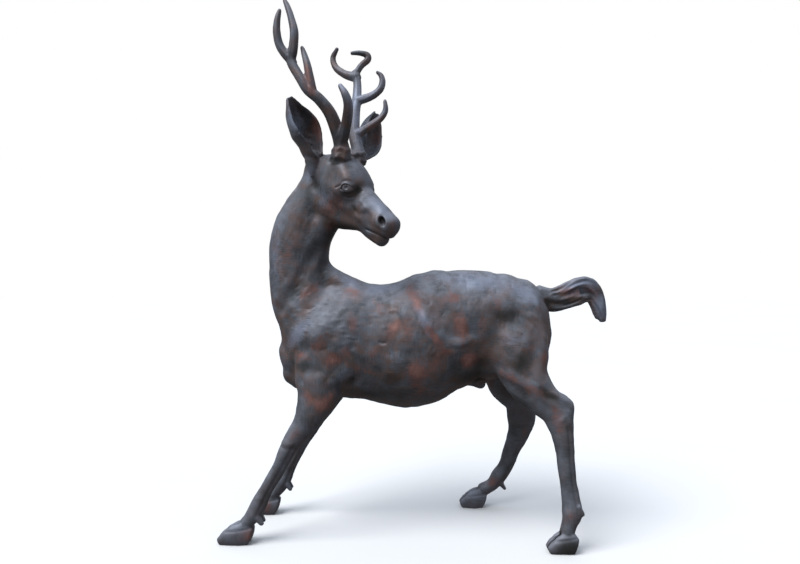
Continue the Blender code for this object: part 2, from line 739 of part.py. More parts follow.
def cast_iron():
    material = bpy.data.materials.new("cast_iron")
    material.use_nodes = True
    shader = material.node_tree.nodes["Principled BSDF"]
    shader.inputs["Base Color"].default_value = (0.055, 0.056, 0.064, 1)
    shader.inputs["Roughness"].default_value = 0.42
    shader.inputs["Metallic"].default_value = 0.6
    return material


def main():
    for obj in list(bpy.data.objects):
        bpy.data.objects.remove(obj)
    flesh = [loft(TORSO, sides=32), loft(NECK, sides=28), head_loft(SKULL, 0.85), head_loft(JAW, 1.0)]
    flesh += [loft(form) for form in (THROAT, CREST, BRISKET, SHEATH, NEAR_HOCK)]
    flesh += [brow_ridge(LEFT), brow_ridge(RIGHT)]
    flesh += [loft(leg) for leg in (NEAR_FORELEG, FAR_FORELEG, NEAR_HIND_LEG, FAR_HIND_LEG)]
    body = melted(mesh_of(flesh), FLESH_VOXEL, 6)
    soften(body)
    sculpt(body)
    forms = [form_of(body)]
    forms += [antler(side, branch) for side, branches in ANTLERS.items() for branch in branches]
    forms += [ear(leaf) for leaf in EARS] + [eyeball(LEFT), eyeball(RIGHT)]
    forms += [loft(form, sides=14) for form in EAR_STALKS + TAIL]
    for numbers in HOOVES:
        forms += claws(*numbers)
    for numbers in DEWCLAWS:
        forms += dewclaws(*numbers)
    stag = bpy.data.objects.new("stag", stood(thinned(melted(mesh_of(forms), FINE_VOXEL, 2))))
    bpy.context.scene.collection.objects.link(stag)
    stag.data.materials.append(cast_iron())


main()
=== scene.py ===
# A life-size cast iron stag, braced on four feet with its head turned back over its left shoulder.
# One casting: its forms are melted together, carved, thinned and fitted to the frame's box.
# Lengths are in centimetres. x grows towards the tail, y towards the stag's right side, z upwards.
import math

import bmesh
import bpy
import numpy as np
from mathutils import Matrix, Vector


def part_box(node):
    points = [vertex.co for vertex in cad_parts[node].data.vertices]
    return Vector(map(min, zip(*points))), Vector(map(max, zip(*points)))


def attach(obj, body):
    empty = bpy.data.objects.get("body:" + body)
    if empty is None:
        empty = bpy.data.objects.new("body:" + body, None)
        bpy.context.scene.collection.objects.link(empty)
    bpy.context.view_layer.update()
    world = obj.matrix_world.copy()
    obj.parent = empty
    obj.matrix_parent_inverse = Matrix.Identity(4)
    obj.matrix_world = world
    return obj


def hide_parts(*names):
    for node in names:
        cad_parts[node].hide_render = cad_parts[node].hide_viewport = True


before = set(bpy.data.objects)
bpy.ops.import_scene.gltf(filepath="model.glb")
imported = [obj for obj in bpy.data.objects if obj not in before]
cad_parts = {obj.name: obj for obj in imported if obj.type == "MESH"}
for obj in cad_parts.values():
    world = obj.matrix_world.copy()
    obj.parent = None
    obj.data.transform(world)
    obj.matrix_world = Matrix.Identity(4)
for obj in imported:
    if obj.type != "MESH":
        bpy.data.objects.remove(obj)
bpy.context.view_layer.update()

cm = 0.01  # metres
left, right = -1, 1
both = (left, right)
upwards = np.array([0.0, 0.0, 1.0])
bodyAcross = np.array([0.0, 1.0, 0.0])
sideView = [(1, 0, 0), (0, 0, 1)]  # the axes that lines drawn from the side run along

casting = {
    "fleshVoxel": 0.8,  # body, head and limbs
    "fineVoxel": 0.4,  # with antlers, ears, hooves and tail
    "triangles": 192000,
    "fleshPasses": 6,  # of smoothing, after each melting
    "finePasses": 3,
    "sharpAngle": 70,  # degrees between faces that meet in a sharp edge
    # where the carving is finer the skin is split again: centre and reach
    "splitOnce": [((-16, -17, 131), 26), ((-31, -14, 156), 17), ((76, 0, 94), 15)],
    # and once more round the eyes and the muzzle, in the head's own axes
    "splitTwice": [((25.4, 6, 3.7), 7), ((25.4, -6, 3.7), 7), ((44.5, 0, 0), 9.5)],
}

# The head starts at the nape and looks out over the left side, nose down.
headSet = {"start": (-34.5, -3.0, 148.5), "yaw": 33, "pitch": 40}
yaw, pitch = math.radians(headSet["yaw"]), math.radians(headSet["pitch"])
level = np.array([math.cos(yaw), -math.sin(yaw), 0.0])
nosewards = math.cos(pitch) * level - math.sin(pitch) * upwards
browwards = math.sin(pitch) * level + math.cos(pitch) * upwards
cheekwards = np.array([-math.sin(yaw), -math.cos(yaw), 0.0])


def flowing(stations, steps=4):
    # rows on a Catmull-Rom curve through the stations
    rows = np.array(stations, float)
    rows = np.vstack([2 * rows[0] - rows[1], rows, 2 * rows[-1] - rows[-2]])
    found = []
    for a, b, c, d in zip(rows, rows[1:], rows[2:], rows[3:]):
        for t in np.arange(steps) / steps:
            straight = 0.5 * t * (c - a)
            bend = t**2 * (a - 2.5 * b + 2 * c - 0.5 * d)
            twist = 0.5 * t**3 * (3 * b - a - 3 * c + d)
            found.append(b + straight + bend + twist)
    found.append(rows[-2])
    return np.array(found)


def unit(rows):
    return rows / np.linalg.norm(rows, axis=-1, keepdims=True).clip(1e-9)


def courseOf(rows):
    # which way a path runs at each of its rows
    return unit(np.gradient(rows[:, :3], axis=0))


def squareTo(way, along):
    # a direction turned square to the path at each of its rows
    return unit(way - (along @ way)[:, None] * along)


def skinOver(rings):
    # a closed tube over rings of points, with a pole at each end
    count, sides = rings.shape[:2]
    verts = np.vstack([rings.reshape(-1, 3), rings[0].mean(0), rings[-1].mean(0)])
    first, last = count * sides, count * sides + 1
    faces = []
    for j in range(sides):
        k = (j + 1) % sides
        for i in range(count - 1):
            low, high = i * sides, (i + 1) * sides
            faces.append((low + j, low + k, high + k, high + j))
        faces.append((first, k, j))
        faces.append((last, (count - 1) * sides + j, (count - 1) * sides + k))
    return verts, faces


def loft(stations, across=bodyAcross, sides=24, dome=0.7, square=1.0):
    # a round-ended form of oval sections, squarer ones if square is under 1
    rows = flowing(stations, 6)
    along = courseOf(rows)
    turns = np.radians([78, 60, 40, 20])
    ends = []
    for row, way in ((rows[0], -along[0]), (rows[-1], along[-1])):
        reach = dome * min(row[3:5])
        cap = [[*(row[:3] + way * reach * math.sin(t)), *(row[3:5] * math.cos(t))] for t in turns]
        ends.append(cap)
    rows = np.vstack([ends[0], rows, ends[1][::-1]])
    along = np.vstack([[along[0]] * len(turns), along, [along[-1]] * len(turns)])
    side = squareTo(across, along)
    front = np.cross(along, side)
    angle = np.arange(sides) * 2 * math.pi / sides
    cosine, sine = np.cos(angle)[:, None], np.sin(angle)[:, None]
    wide = rows[:, 3:4, None] * np.sign(cosine) * np.abs(cosine) ** square * side[:, None]
    deep = rows[:, 4:5, None] * np.sign(sine) * np.abs(sine) ** square * front[:, None]
    return skinOver(rows[:, None, :3] + wide + deep)


def onHead(nose, cheek=0.0, brow=0.0):
    # a point given along the head's own axes
    return np.array(headSet["start"]) + nose * nosewards + cheek * cheekwards + brow * browwards


# Body, legs and head. A station is x, y, z of its middle, half its width and half its depth.
trunk = {
    "torso": [
        (-42, 0, 67.5, 8.5, 10.7), (-37, 0, 71, 13, 15.5), (-31.5, 0, 75.5, 15.5, 22.3),
        (-21, 0, 76.4, 16.5, 23.6), (-10, 0, 75.4, 16.5, 23.8), (2, 0, 74.4, 17.9, 25.6),
        (7.5, 0, 76.2, 18.5, 25.6), (13.5, 0, 79.2, 18.3, 24.8), (20, 0, 80.9, 17.8, 24.5),
        (29.5, 0, 83, 16.5, 21.8), (38, 0, 81.8, 15.5, 21.7), (46, 0, 82.6, 15, 20.9),
        (52, 0, 83.6, 13, 18),
    ],
    "neck": [
        (-30, 0, 72, 13, 17), (-34.8, 0, 84, 12.5, 15), (-38.9, 0, 92.5, 11.5, 13.4),
        (-40.7, 0, 101, 10.5, 12.7), (-41, -0.5, 108, 9.8, 12.2), (-40.7, -1, 115, 9.4, 12.1),
        (-39, -1.5, 121.5, 9, 11.9), (-36.4, -2.2, 127, 8.6, 11.2), (-33.5, -3, 132, 8.3, 10.4),
        (-31, -3.8, 137, 8, 9.8),
    ],
    "throat": [
        (-35, -2, 108, 6.5, 5.5), (-34.2, -3, 114, 6.5, 5.5), (-32.4, -4.5, 119.5, 6.5, 5.8),
        (-29, -7, 124.6, 5.5, 5.8),
    ],
    "crest": [  # where the neck meets the withers
        (-34, 0, 108, 5, 4), (-29.5, 0, 102.4, 6.5, 4.5), (-22, 0, 98.9, 7.5, 4),
        (-13, 0, 95.2, 8, 3.6),
    ],
    "brisket": [
        (-43, 0, 64.6, 7, 6.6), (-38, 0, 62.8, 9.5, 7.4), (-30, 0, 60, 10.5, 8),
    ],
    "nearHock": [  # heel bone and its tendon
        (54.5, -15.8, 59.6, 2, 2.6), (58.5, -16.5, 56.6, 2.2, 2.5), (63.6, -17.3, 53.2, 2.3, 2.6),
        (63.6, -18, 48.6, 2, 2.3),
    ],
    "sheath": [
        (24, 0, 61.8, 2.4, 2.3), (29, 0, 59.5, 2.3, 2.3), (33.6, 0, 58.4, 2.1, 2.2),
    ],
}
legs = {
    "nearFore": [
        (-28, -9, 76, 6.5, 13), (-31, -10.5, 63.5, 6.2, 10.5), (-32, -11.8, 55, 5.2, 8.2),
        (-36, -12.8, 46.2, 4.3, 5.3), (-40, -13.5, 40.5, 3.8, 4.2), (-42, -13.8, 37.5, 3.7, 3.8),
        (-44.4, -14.2, 32.8, 2.9, 3.1), (-47.4, -14.6, 27, 2.5, 2.8), (-51.6, -15, 19.5, 2.5, 2.7),
        (-54.6, -15.2, 13.8, 3.1, 3.3), (-57.4, -15.3, 9.2, 3, 2.8), (-59.4, -15.3, 6.8, 3.2, 2.8),
    ],
    "farFore": [
        (-28, 9, 76, 6.5, 13), (-29.5, 10.5, 63.5, 6.2, 10), (-30, 11.8, 55, 5.2, 7.6),
        (-34, 12.8, 46.2, 4.3, 5.3), (-37.8, 13.5, 39.8, 3.8, 4.3), (-39.4, 13.7, 36.6, 3.7, 4.1),
        (-42.2, 14.1, 31.3, 2.9, 3.2), (-44.7, 14.5, 26, 2.5, 2.9), (-47.8, 15, 19.4, 2.5, 2.8),
        (-50.4, 15.2, 14, 3.1, 3.3), (-53.3, 15.3, 9.8, 3, 2.9), (-56, 15.3, 7.2, 3.2, 2.9),
    ],
    "nearHind": [
        (44.6, -9, 84, 6.5, 12.4), (46.5, -11.5, 72, 6.5, 11.9), (48.3, -13.5, 63.5, 6, 9.3),
        (53, -15.5, 56.5, 4.9, 7.2), (58.3, -17.2, 51.5, 3.9, 5.8), (60.6, -18.3, 46.5, 3.5, 5.3),
        (61.6, -19.2, 41, 3.1, 4.2), (62.2, -20.5, 33, 2.7, 3.5), (62.8, -21.5, 25.5, 2.4, 3.3),
        (63.6, -22.2, 19, 2.5, 3.6), (64, -22.8, 14.4, 3.2, 4), (62.6, -23.2, 10, 3, 2.8),
        (61.8, -23.5, 7.2, 3.2, 3),
    ],
    "farHind": [
        (43, 9, 84, 6.5, 12.6), (43, 11.5, 70, 6.3, 11), (46.4, 13.5, 57, 5.8, 8.9),
        (51.7, 15.8, 48.5, 4.9, 6.5), (52.9, 17.4, 42, 4, 6.5), (52.7, 18.4, 37, 3.5, 5.6),
        (51.3, 19.3, 31.5, 3, 4.5), (49.1, 20.2, 25.5, 2.6, 3.8), (46.9, 21.2, 19, 2.5, 3.5),
        (44, 22, 14, 3.1, 3.5), (40.7, 22.8, 9.8, 3, 2.9), (36.8, 23.4, 7.4, 3.2, 3),
    ],
}

# The head's stations: nosewards, browwards, half width, half depth.
# A brow ridge's stations: nosewards, outwards, browwards, radius.
head = {
    "skull": [
        (3, -1.5, 6, 6.4), (7, -0.4, 7.4, 7), (12, 1.5, 8.2, 8.6), (18, 2.5, 8.6, 9.8),
        (23, 1.6, 8.5, 8.9), (27, 0.4, 6.8, 7.4), (32, 0.6, 5.3, 6.8), (37, 0.8, 4.8, 6.2),
        (42.5, 1, 5, 5.7), (46.7, 2.3, 4.5, 4.3),
    ],
    "jaw": [
        (8, -7.5, 6.3, 7), (14, -8, 7, 7.5), (20, -8, 6.6, 6.9), (26, -7.4, 5.4, 6),
        (31, -6.1, 4.2, 4.3), (36, -4.8, 3.5, 3), (41.4, -4.8, 3.3, 2.6), (46.9, -3.9, 2.9, 2.7),
    ],
    "brow": [
        (14, 4.8, 8.2, 2.3), (19, 6.1, 7.5, 2.3), (23.5, 6.7, 6.3, 2.2), (26.5, 6, 4.9, 1.7),
    ],
}


def headLoft(stations, square):
    rows = [(*onHead(nose, 0, up), wide, deep) for nose, up, wide, deep in stations]
    return loft(rows, cheekwards, sides=32, square=square)


def browRidge(side):
    rows = [(*onHead(nose, side * out, up), r, r) for nose, out, up, r in head["brow"]]
    return loft(rows, cheekwards, sides=16)


def fleshForms():
    forms = [loft(trunk["torso"], sides=40), loft(trunk["neck"], sides=36)]
    forms += [loft(trunk[name]) for name in ("throat", "crest", "brisket", "nearHock", "sheath")]
    forms += [headLoft(head["skull"], 0.85), headLoft(head["jaw"], 1.0)]
    forms += [browRidge(side) for side in both]
    forms += [loft(leg) for leg in legs.values()]
    return forms


antlers = {
    "burrs": {right: (-22.4, -16.4, 148), left: (-17, -8, 148)},
    # outwards, backwards, upwards from the burr, radius
    right: [
        [
            (0, 1.5, -3.5, 3.2), (0, 0.2, 0, 4), (0, -0.1, 1.6, 3.8), (0.3, -0.3, 3.6, 3),
            (2, 0, 8.5, 2.7), (5.5, 0.9, 15, 2.35), (9, 3.5, 20, 2.1), (11.5, 7, 23.5, 2),
            (12.5, 9.1, 27, 1.9), (13, 11.9, 31.6, 1.85), (13.2, 13.5, 35, 1.8),
            (13, 12.8, 39, 1.8), (12.5, 12.6, 45.5, 1.65), (12, 14.3, 51, 1.4),
            (11.5, 16.8, 56.5, 1.15), (11, 19, 60, 0.8),
        ],
        [
            (12.8, 12.8, 34, 1.7), (15, 17, 40, 1.65), (16, 18, 45.5, 1.45), (16, 17.8, 50.5, 1.2),
            (15.5, 17.1, 54, 0.8),
        ],
        [
            (10.6, 5.2, 21.5, 1.9), (11, 6.3, 28.5, 1.6), (11, 7.6, 33.5, 1.35),
            (10.2, 10.1, 38.6, 1), (10, 11, 40.6, 0.7),
        ],
        [
            (0.8, -0.8, 4.5, 2.1), (3.6, -5.2, 10.5, 2), (5.8, -7.8, 16, 1.8), (7, -7.6, 20, 1.5),
            (7.6, -5.4, 24, 0.9),
        ],
    ],
    left: [
        [
            (0, 1.5, -3.5, 3.2), (0, 0, 0, 3.7), (0, -0.3, 1.6, 3.5), (0.3, -0.2, 3.6, 2.7),
            (2, 3, 11.8, 2.4), (5.5, 5.2, 19.6, 2.1), (8, 6.2, 25.8, 1.95), (10, 7.3, 30.5, 1.8),
            (11.5, 8.4, 35.2, 1.7), (12.5, 10, 40, 1.6),
        ],
        [
            (12.2, 9.2, 37.6, 2.2), (12, 14.9, 39.8, 1.75), (12, 20.3, 43.9, 1.45),
            (12, 22, 48.2, 1.25), (12, 19.6, 51.8, 0.9),
        ],
        [
            (12.3, 9.8, 39.4, 1.5), (14, 8.1, 43, 1.35), (16, 6.4, 45.6, 1.4), (16, 6.5, 47.6, 1.3),
            (14, 9.4, 48.5, 1.1), (12, 11.8, 48.3, 0.8),
        ],
        [
            (7.8, 5.8, 26.2, 1.8), (10, 0.5, 27.7, 1.65), (12, -2.6, 30.4, 1.5),
            (13, -3.3, 33.6, 1.3), (13, -2.7, 36.4, 1.05), (12, -1.2, 38, 0.7),
        ],
        [
            (1.4, 1, 10.6, 1.7), (5, -3.1, 14.3, 1.5), (7.5, -6.2, 17.2, 1.35),
            (8.5, -7.9, 20.4, 1.15), (8.5, -7.6, 24.4, 0.75),
        ],
    ],
}


def antlerRows(side, branch):
    rows = []
    for out, back, up, radius in branch:
        spot = antlers["burrs"][side] + side * out * cheekwards - back * level + up * upwards
        rows.append((*spot, radius, radius))
    return rows


# Ears, right and left. A station is x, y, z of the middle, half the width and how deep the cup is.
ears = {
    "leaves": [
        [
            (-31, -14, 148.6, 1, 5.6), (-32.1, -14.4, 150.9, 2.6, 6),
            (-32.8, -14.8, 153.8, 3.7, 6.4), (-34.2, -15.6, 157.6, 5.4, 7.2),
            (-35.8, -16.6, 160.4, 5.5, 6.6), (-37.6, -17.2, 162.8, 4.8, 5.4),
            (-39.2, -18, 165.1, 3.3, 4), (-40.6, -18.8, 167.6, 1.8, 1.2),
            (-41.7, -19.4, 169.8, 0.5, 0.3),
        ],
        [
            (-14.8, 1, 151, 1, 5), (-12.8, 2, 153.6, 2.6, 5.4), (-11.2, 3, 156.6, 4.2, 6),
            (-10.7, 4.2, 160, 4.9, 6.4), (-10.3, 5.6, 163.6, 4.4, 5.7),
            (-10, 6.8, 166.8, 3.3, 4.2), (-9.8, 7.8, 169.4, 1.9, 1.3), (-9.7, 8.4, 171.6, 0.5, 0.3),
        ],
    ],
    "stalks": [
        [
            (-33.2, -11.4, 141.6, 1.9, 2), (-33.6, -12, 144.5, 2.7, 2.7),
            (-34, -12.4, 147.2, 2.9, 3.1), (-34, -12.2, 149.4, 2.4, 2.8),
        ],
        [
            (-23.5, -0.5, 145.5, 2.4, 2.4), (-21, 1.8, 148.8, 3, 3), (-18.2, 3.6, 152, 3.1, 3.1),
            (-16.4, 4.4, 154, 2.4, 2.4),
        ],
    ],
}


def earCup(leaf, thickness=1.3):
    # a cup that opens forwards, closed at its foot and pointed at its tip
    rows = flowing(leaf, 4)
    along = courseOf(rows)
    hollow = squareTo(level, along)
    side = np.cross(along, hollow)
    turn = np.radians(np.linspace(-90, 90, 19))
    rings = []
    for row, out, across in zip(rows, hollow, side):
        lift = np.outer(np.sin(turn), across) - np.outer(np.cos(turn), out)
        front = row[:3] + np.outer(np.sin(turn) * row[3], across)
        front -= np.outer(np.cos(turn) * row[4], out)
        back = front + lift * thickness
        rims = (front[[0, -1]] + back[[0, -1]]) / 2 + out * thickness / 2
        rings.append(np.vstack([rims[0], front, rims[1], back[::-1]]))
    return skinOver(np.array(rings))


# Feet: each hoof has two claws on the ground, and a pair of dewclaws above it.
feet = {
    "hooves": [  # tip x, heel x, y, height, half width
        (-69.4, -55.6, -15.5, 8.2, 3.9), (-64.8, -51.4, 15.4, 8.4, 3.9),
        (54.8, 65.9, -23.6, 7.8, 3.8), (26.8, 38.7, 23.4, 8, 3.8),
    ],
    "dewclaws": [  # x, y, z between the pair
        (-52.9, -15.2, 8.8), (-47.4, 15.2, 11.9), (67.2, -22.8, 15.2), (45.8, 22, 10),
    ],
}


def clawPair(tip, heel, y, height, halfWidth):
    # from heel to tip: share of the length, of the height, of the half width
    profile = [
        (0.12, 0.8, 0.4), (0.35, 1, 0.5), (0.62, 0.8, 0.5), (0.84, 0.52, 0.42), (0.96, 0.32, 0.27),
    ]
    forms = []
    for side in both:
        rows = []
        for share, tall, wide in profile:
            half = height * tall / 2
            aside = y + side * halfWidth * (0.5 - 0.12 * share)
            x = heel - share * (heel - tip)
            rows.append((x, aside, half - 0.25, halfWidth * wide, half + 0.25))
        forms.append(loft(rows, dome=0.45))
    return forms


def dewclawPair(x, y, z):
    forms = []
    for side in both:
        top = (x - 1.6, y + side * 1.5, z + 1.6, 1.2, 1.3)
        point = (x + 0.4, y + side * 1.7, z - 1.2, 0.8, 0.8)
        forms.append(loft([top, point]))
    return forms


tail = {
    "locks": [
        [
            (56.5, 0, 93.3, 3.4, 5.2), (62, 0, 92.9, 3, 4.3), (68, 0, 94, 2.8, 4.3),
            (72.5, 0, 95, 2.2, 3.7),
        ],
        [
            (60, -0.8, 94.5, 1.8, 2.2), (66, -1, 96.3, 2, 2.3), (71.8, -1, 99.2, 2, 2.4),
            (77, -0.6, 99.4, 2, 2.6), (80.7, 0, 95.4, 2, 2.5), (82, 0.3, 89.4, 1.8, 2.2),
            (82.8, 0.4, 84.1, 1.2, 1.5),
        ],
        [
            (60, 1.2, 91.9, 1.8, 2.4), (66, 1.4, 93.3, 2, 2.6), (71.8, 1.2, 95.5, 2, 2.6),
            (76.4, 0.8, 95.4, 1.8, 2.4), (79.8, 0.8, 90.8, 1.6, 2.3), (81.6, 0.8, 85.6, 1.3, 1.8),
        ],
        [
            (60, -0.6, 90.2, 1.8, 2.2), (66, -0.8, 90.6, 1.9, 2.2), (71, -0.6, 91.8, 1.8, 2),
            (75.2, 0, 93.4, 1.5, 1.8), (78.4, 0.2, 93, 1, 1.2),
        ],
    ],
}


def fineForms():
    forms = [
        loft(antlerRows(side, branch), cheekwards, sides=18)
        for side in both
        for branch in antlers[side]
    ]
    forms += [earCup(leaf) for leaf in ears["leaves"]]
    forms += [loft(stalk) for stalk in ears["stalks"]]
    forms += [loft(lock, sides=16) for lock in tail["locks"]]
    for numbers in feet["hooves"]:
        forms += clawPair(*numbers)
    for numbers in feet["dewclaws"]:
        forms += dewclawPair(*numbers)
    return forms


def meshOf(forms):
    verts, faces, start = [], [], 0
    for points, polygons in forms:
        verts.append(points * cm)
        faces += [tuple(start + i for i in polygon) for polygon in polygons]
        start += len(points)
    mesh = bpy.data.meshes.new("forms")
    mesh.from_pydata(np.vstack(verts), [], faces)
    return mesh


def added(name, data):
    thing = bpy.data.objects.new(name, data)
    bpy.context.scene.collection.objects.link(thing)
    return thing


def changed(mesh, *modifiers):
    # the mesh after these modifiers, each a type and its settings
    maker = added("maker", mesh)
    for kind, settings in modifiers:
        modifier = maker.modifiers.new(kind.lower(), kind)
        for name, value in settings.items():
            setattr(modifier, name, value)
    graph = bpy.context.evaluated_depsgraph_get()
    result = bpy.data.meshes.new_from_object(maker.evaluated_get(graph))
    bpy.data.objects.remove(maker)
    return result


def melted(mesh, voxel, passes):
    # the forms of a mesh melted into one skin and evened a little
    remesh = {"mode": "VOXEL", "voxel_size": voxel * cm}
    return changed(mesh, ("REMESH", remesh), ("SMOOTH", {"factor": 0.5, "iterations": passes}))


def formOf(mesh):
    points = np.empty(len(mesh.vertices) * 3, np.float32)
    mesh.vertices.foreach_get("co", points)
    return points.reshape(-1, 3) / cm, [tuple(face.vertices) for face in mesh.polygons]


def splitNear(mesh, zones):
    # splits the faces near each centre, for finer carving there
    bm = bmesh.new()
    bm.from_mesh(mesh)
    for centre, reach in zones:
        middle, far = Vector(centre) * cm, reach * cm
        inside = {vert for vert in bm.verts if (vert.co - middle).length < far}
        edges = [edge for edge in bm.edges if inside.issuperset(edge.verts)]
        bmesh.ops.subdivide_edges(bm, edges=edges, cuts=1, use_grid_fill=True, smooth=0.3)
    bm.to_mesh(mesh)
    bm.free()


def bell(distance):
    # 1 at the middle, falling smoothly to 0 at a distance of 1
    return np.clip(1 - distance**2, 0, 1) ** 2


def step(value):
    # a smooth step from 0 to 1
    value = np.clip(value, 0, 1)
    return value * value * (3 - 2 * value)


class Clay:
    # a mesh as arrays of points and normals, pushed about by the carving below
    def __init__(self, mesh):
        self.mesh = mesh
        self.points = self.rows("co") / cm
        self.normals = self.rows("normal")
        self.heights = np.zeros(len(self.points))
        self.carved = np.zeros(len(self.points))
        ends = np.empty(len(mesh.edges) * 2, np.int32)
        mesh.edges.foreach_get("vertices", ends)
        ends = ends.reshape(-1, 2)
        self.starts = np.concatenate([ends[:, 0], ends[:, 1]])
        self.stops = np.concatenate([ends[:, 1], ends[:, 0]])
        self.joined = np.bincount(self.starts, minlength=len(self.points))

    def rows(self, name):
        found = np.empty(len(self.mesh.vertices) * 3, np.float32)
        self.mesh.vertices.foreach_get(name, found)
        return found.reshape(-1, 3).astype(float)

    def around(self, rows):
        # the average of each point's neighbours
        size = len(self.points)
        found = [np.bincount(self.starts, column[self.stops], size) for column in rows.T]
        return np.stack(found, 1) / self.joined[:, None]

    def settle(self):
        # moves each point along its normal by the height gathered for it
        self.points += self.heights[:, None] * self.normals
        self.carved += self.heights
        self.heights[:] = 0
        self.mesh.vertices.foreach_set("co", (self.points * cm).ravel())
        self.mesh.update()
        self.normals = self.rows("normal")

    def even(self, share, passes):
        for _ in range(passes):
            self.points += share[:, None] * (self.around(self.points) - self.points)

    def near(self, centre, reach=1):
        # how far each point is from a place, in parts of the reach
        return np.linalg.norm(self.points - centre, axis=1) / reach

    def oval(self, x, z, long, short, lean):
        # seen from the side, how far out each point is: 0 at the middle, 1 at the oval's edge
        turn = math.radians(lean)
        dx, dz = self.points[:, 0] - x, self.points[:, 2] - z
        along = (dx * math.cos(turn) + dz * math.sin(turn)) / long
        off = (dz * math.cos(turn) - dx * math.sin(turn)) / short
        return np.hypot(along, off)

    def dab(self, centre, reach, height, facing):
        # a swelling, or a hollow if height is under 0, on the skin that faces this way
        share = bell(self.near(centre, reach)) * np.clip(self.normals @ facing + 0.3, 0, 1)
        self.heights += height * share

    def line(self, stations, width, height, chosen=None, axes=None, taper=0.25):
        # a ridge along a smooth line, or a groove if height is under 0
        where = np.arange(len(self.points)) if chosen is None else np.flatnonzero(chosen)
        spots = self.points[where] if axes is None else self.points[where] @ np.array(axes).T
        line = flowing(stations) if len(stations) > 2 else np.array(stations, float)
        close = ((spots > line.min(0) - width) & (spots < line.max(0) + width)).all(1)
        where, spots = where[close], spots[close]
        nearest, place = np.full(len(spots), np.inf), np.zeros(len(spots))
        for i, (start, end) in enumerate(zip(line, line[1:])):
            run = end - start
            share = np.clip((spots - start) @ run / (run @ run), 0, 1)
            gap = np.linalg.norm(spots - start - share[:, None] * run, axis=1)
            closer = gap < nearest
            nearest[closer] = gap[closer]
            place[closer] = (i + share[closer]) / (len(line) - 1)
        ends = step(np.minimum(place, 1 - place) / taper) if taper else 1
        self.heights[where] += height * bell(nearest / width) * ends


muscles = {
    "softened": [  # x, y, z, reach, passes of smoothing
        (-21, -16.5, 142, 6, 30), (-16.6, -9.8, 142, 6, 30),  # temples
        (-36, 0, 90, 26, 14), (-22, -12, 62, 12, 14), (-22, 12, 62, 12, 14), (44, -12, 72, 18, 14),
        (42, 12, 72, 18, 14), (-28, -6, 140, 22, 5), (-19, -13, 139, 12, 8), (-24, -5, 143, 12, 8),
        (58, 0, 92, 9, 8),
    ],
    # seen from the side: x, z, half length, half width, lean in degrees, height, sides
    "ovals": [
        (-31.5, 80, 9, 6.5, 60, 0.9, both), (-24, 84, 17, 8, 72, 0.35, both),
        (-13.5, 80, 14, 6, 80, -0.6, both), (-33, 68, 6, 4.5, 20, -0.3, both),
        (-29.5, 62, 7, 5, 60, 0.3, both), (-19, 62, 7, 4.5, 20, -0.9, both),
        (10, 87, 18, 4, -61, 0.7, both), (18.5, 86, 15, 5, -61, -0.5, both),
        (-1.5, 84, 17, 4, -72, -0.4, both), (4, 66, 16, 7, -12, 0.6, both),
        (23, 76, 9, 4, 16, 0.8, both), (29, 82, 8, 6, 30, -0.6, both),
        (38.5, 92, 9, 6, -10, 0.7, both), (51, 90, 8, 5.5, -25, 0.8, both),
        (43, 84, 10, 4.5, 5, -0.5, both), (41, 73, 12, 9, 80, 0.9, both),
        (51.5, 72, 13, 3.6, 82, -0.4, both), (55.5, 76, 12, 4.4, 84, 0.35, both),
        (35, 64, 6, 4.5, 0, 0.9, both), (56, 57, 6, 2.2, -42, -0.9, (left,)),
        (53, 47, 5, 2, -50, -0.8, (right,)),
    ],
    "folds": [  # stations, width, height, sides
        ([(-32, 10, 113), (-36, 11, 106), (-40, 11.5, 99), (-47, 8.5, 89.5)], 4.2, -1.2, both),
        ([(-49, 0, 84), (-49.5, 0, 75), (-47, 0, 64)], 4, -1, (right,)),  # breast
        ([(63, 0, 88), (62, 0, 78), (58, 0, 66)], 4, -1.6, (right,)),  # between the thighs
    ],
    "face": [  # nosewards, outwards, browwards, reach, height
        (19, 8, -5, 9, 0.9), (28.5, 6, 1.5, 4.5, -0.8), (18.5, 8, 4, 5, -0.3),
        (25, 7, 2.6, 5.5, 0.8), (33.5, 5, 1, 4, 0.5), (37, 4.5, -3, 4, 0.4),
        (43.5, 4.6, 1.5, 3.4, 0.7),
    ],
}


def dabFace(clay, dabs):
    for nose, out, brow, reach, height in dabs:
        for side in both:
            clay.dab(onHead(nose, side * out, brow), reach, height, side * cheekwards)


def carveMuscles(clay):
    for x, y, z, reach, passes in muscles["softened"]:
        clay.even(bell(clay.near((x, y, z), reach)), passes)
    clay.settle()
    for *oval, height, sides in muscles["ovals"]:
        for side in sides:
            facing = np.clip(clay.normals[:, 1] * side * 1.4 - 0.2, 0, 1)
            clay.heights += height * bell(clay.oval(*oval)) * facing
    for stations, width, height, sides in muscles["folds"]:
        for side in sides:
            clay.line([(x, side * y, z) for x, y, z in stations], width, height, taper=0)
    dabFace(clay, muscles["face"])
    clay.settle()


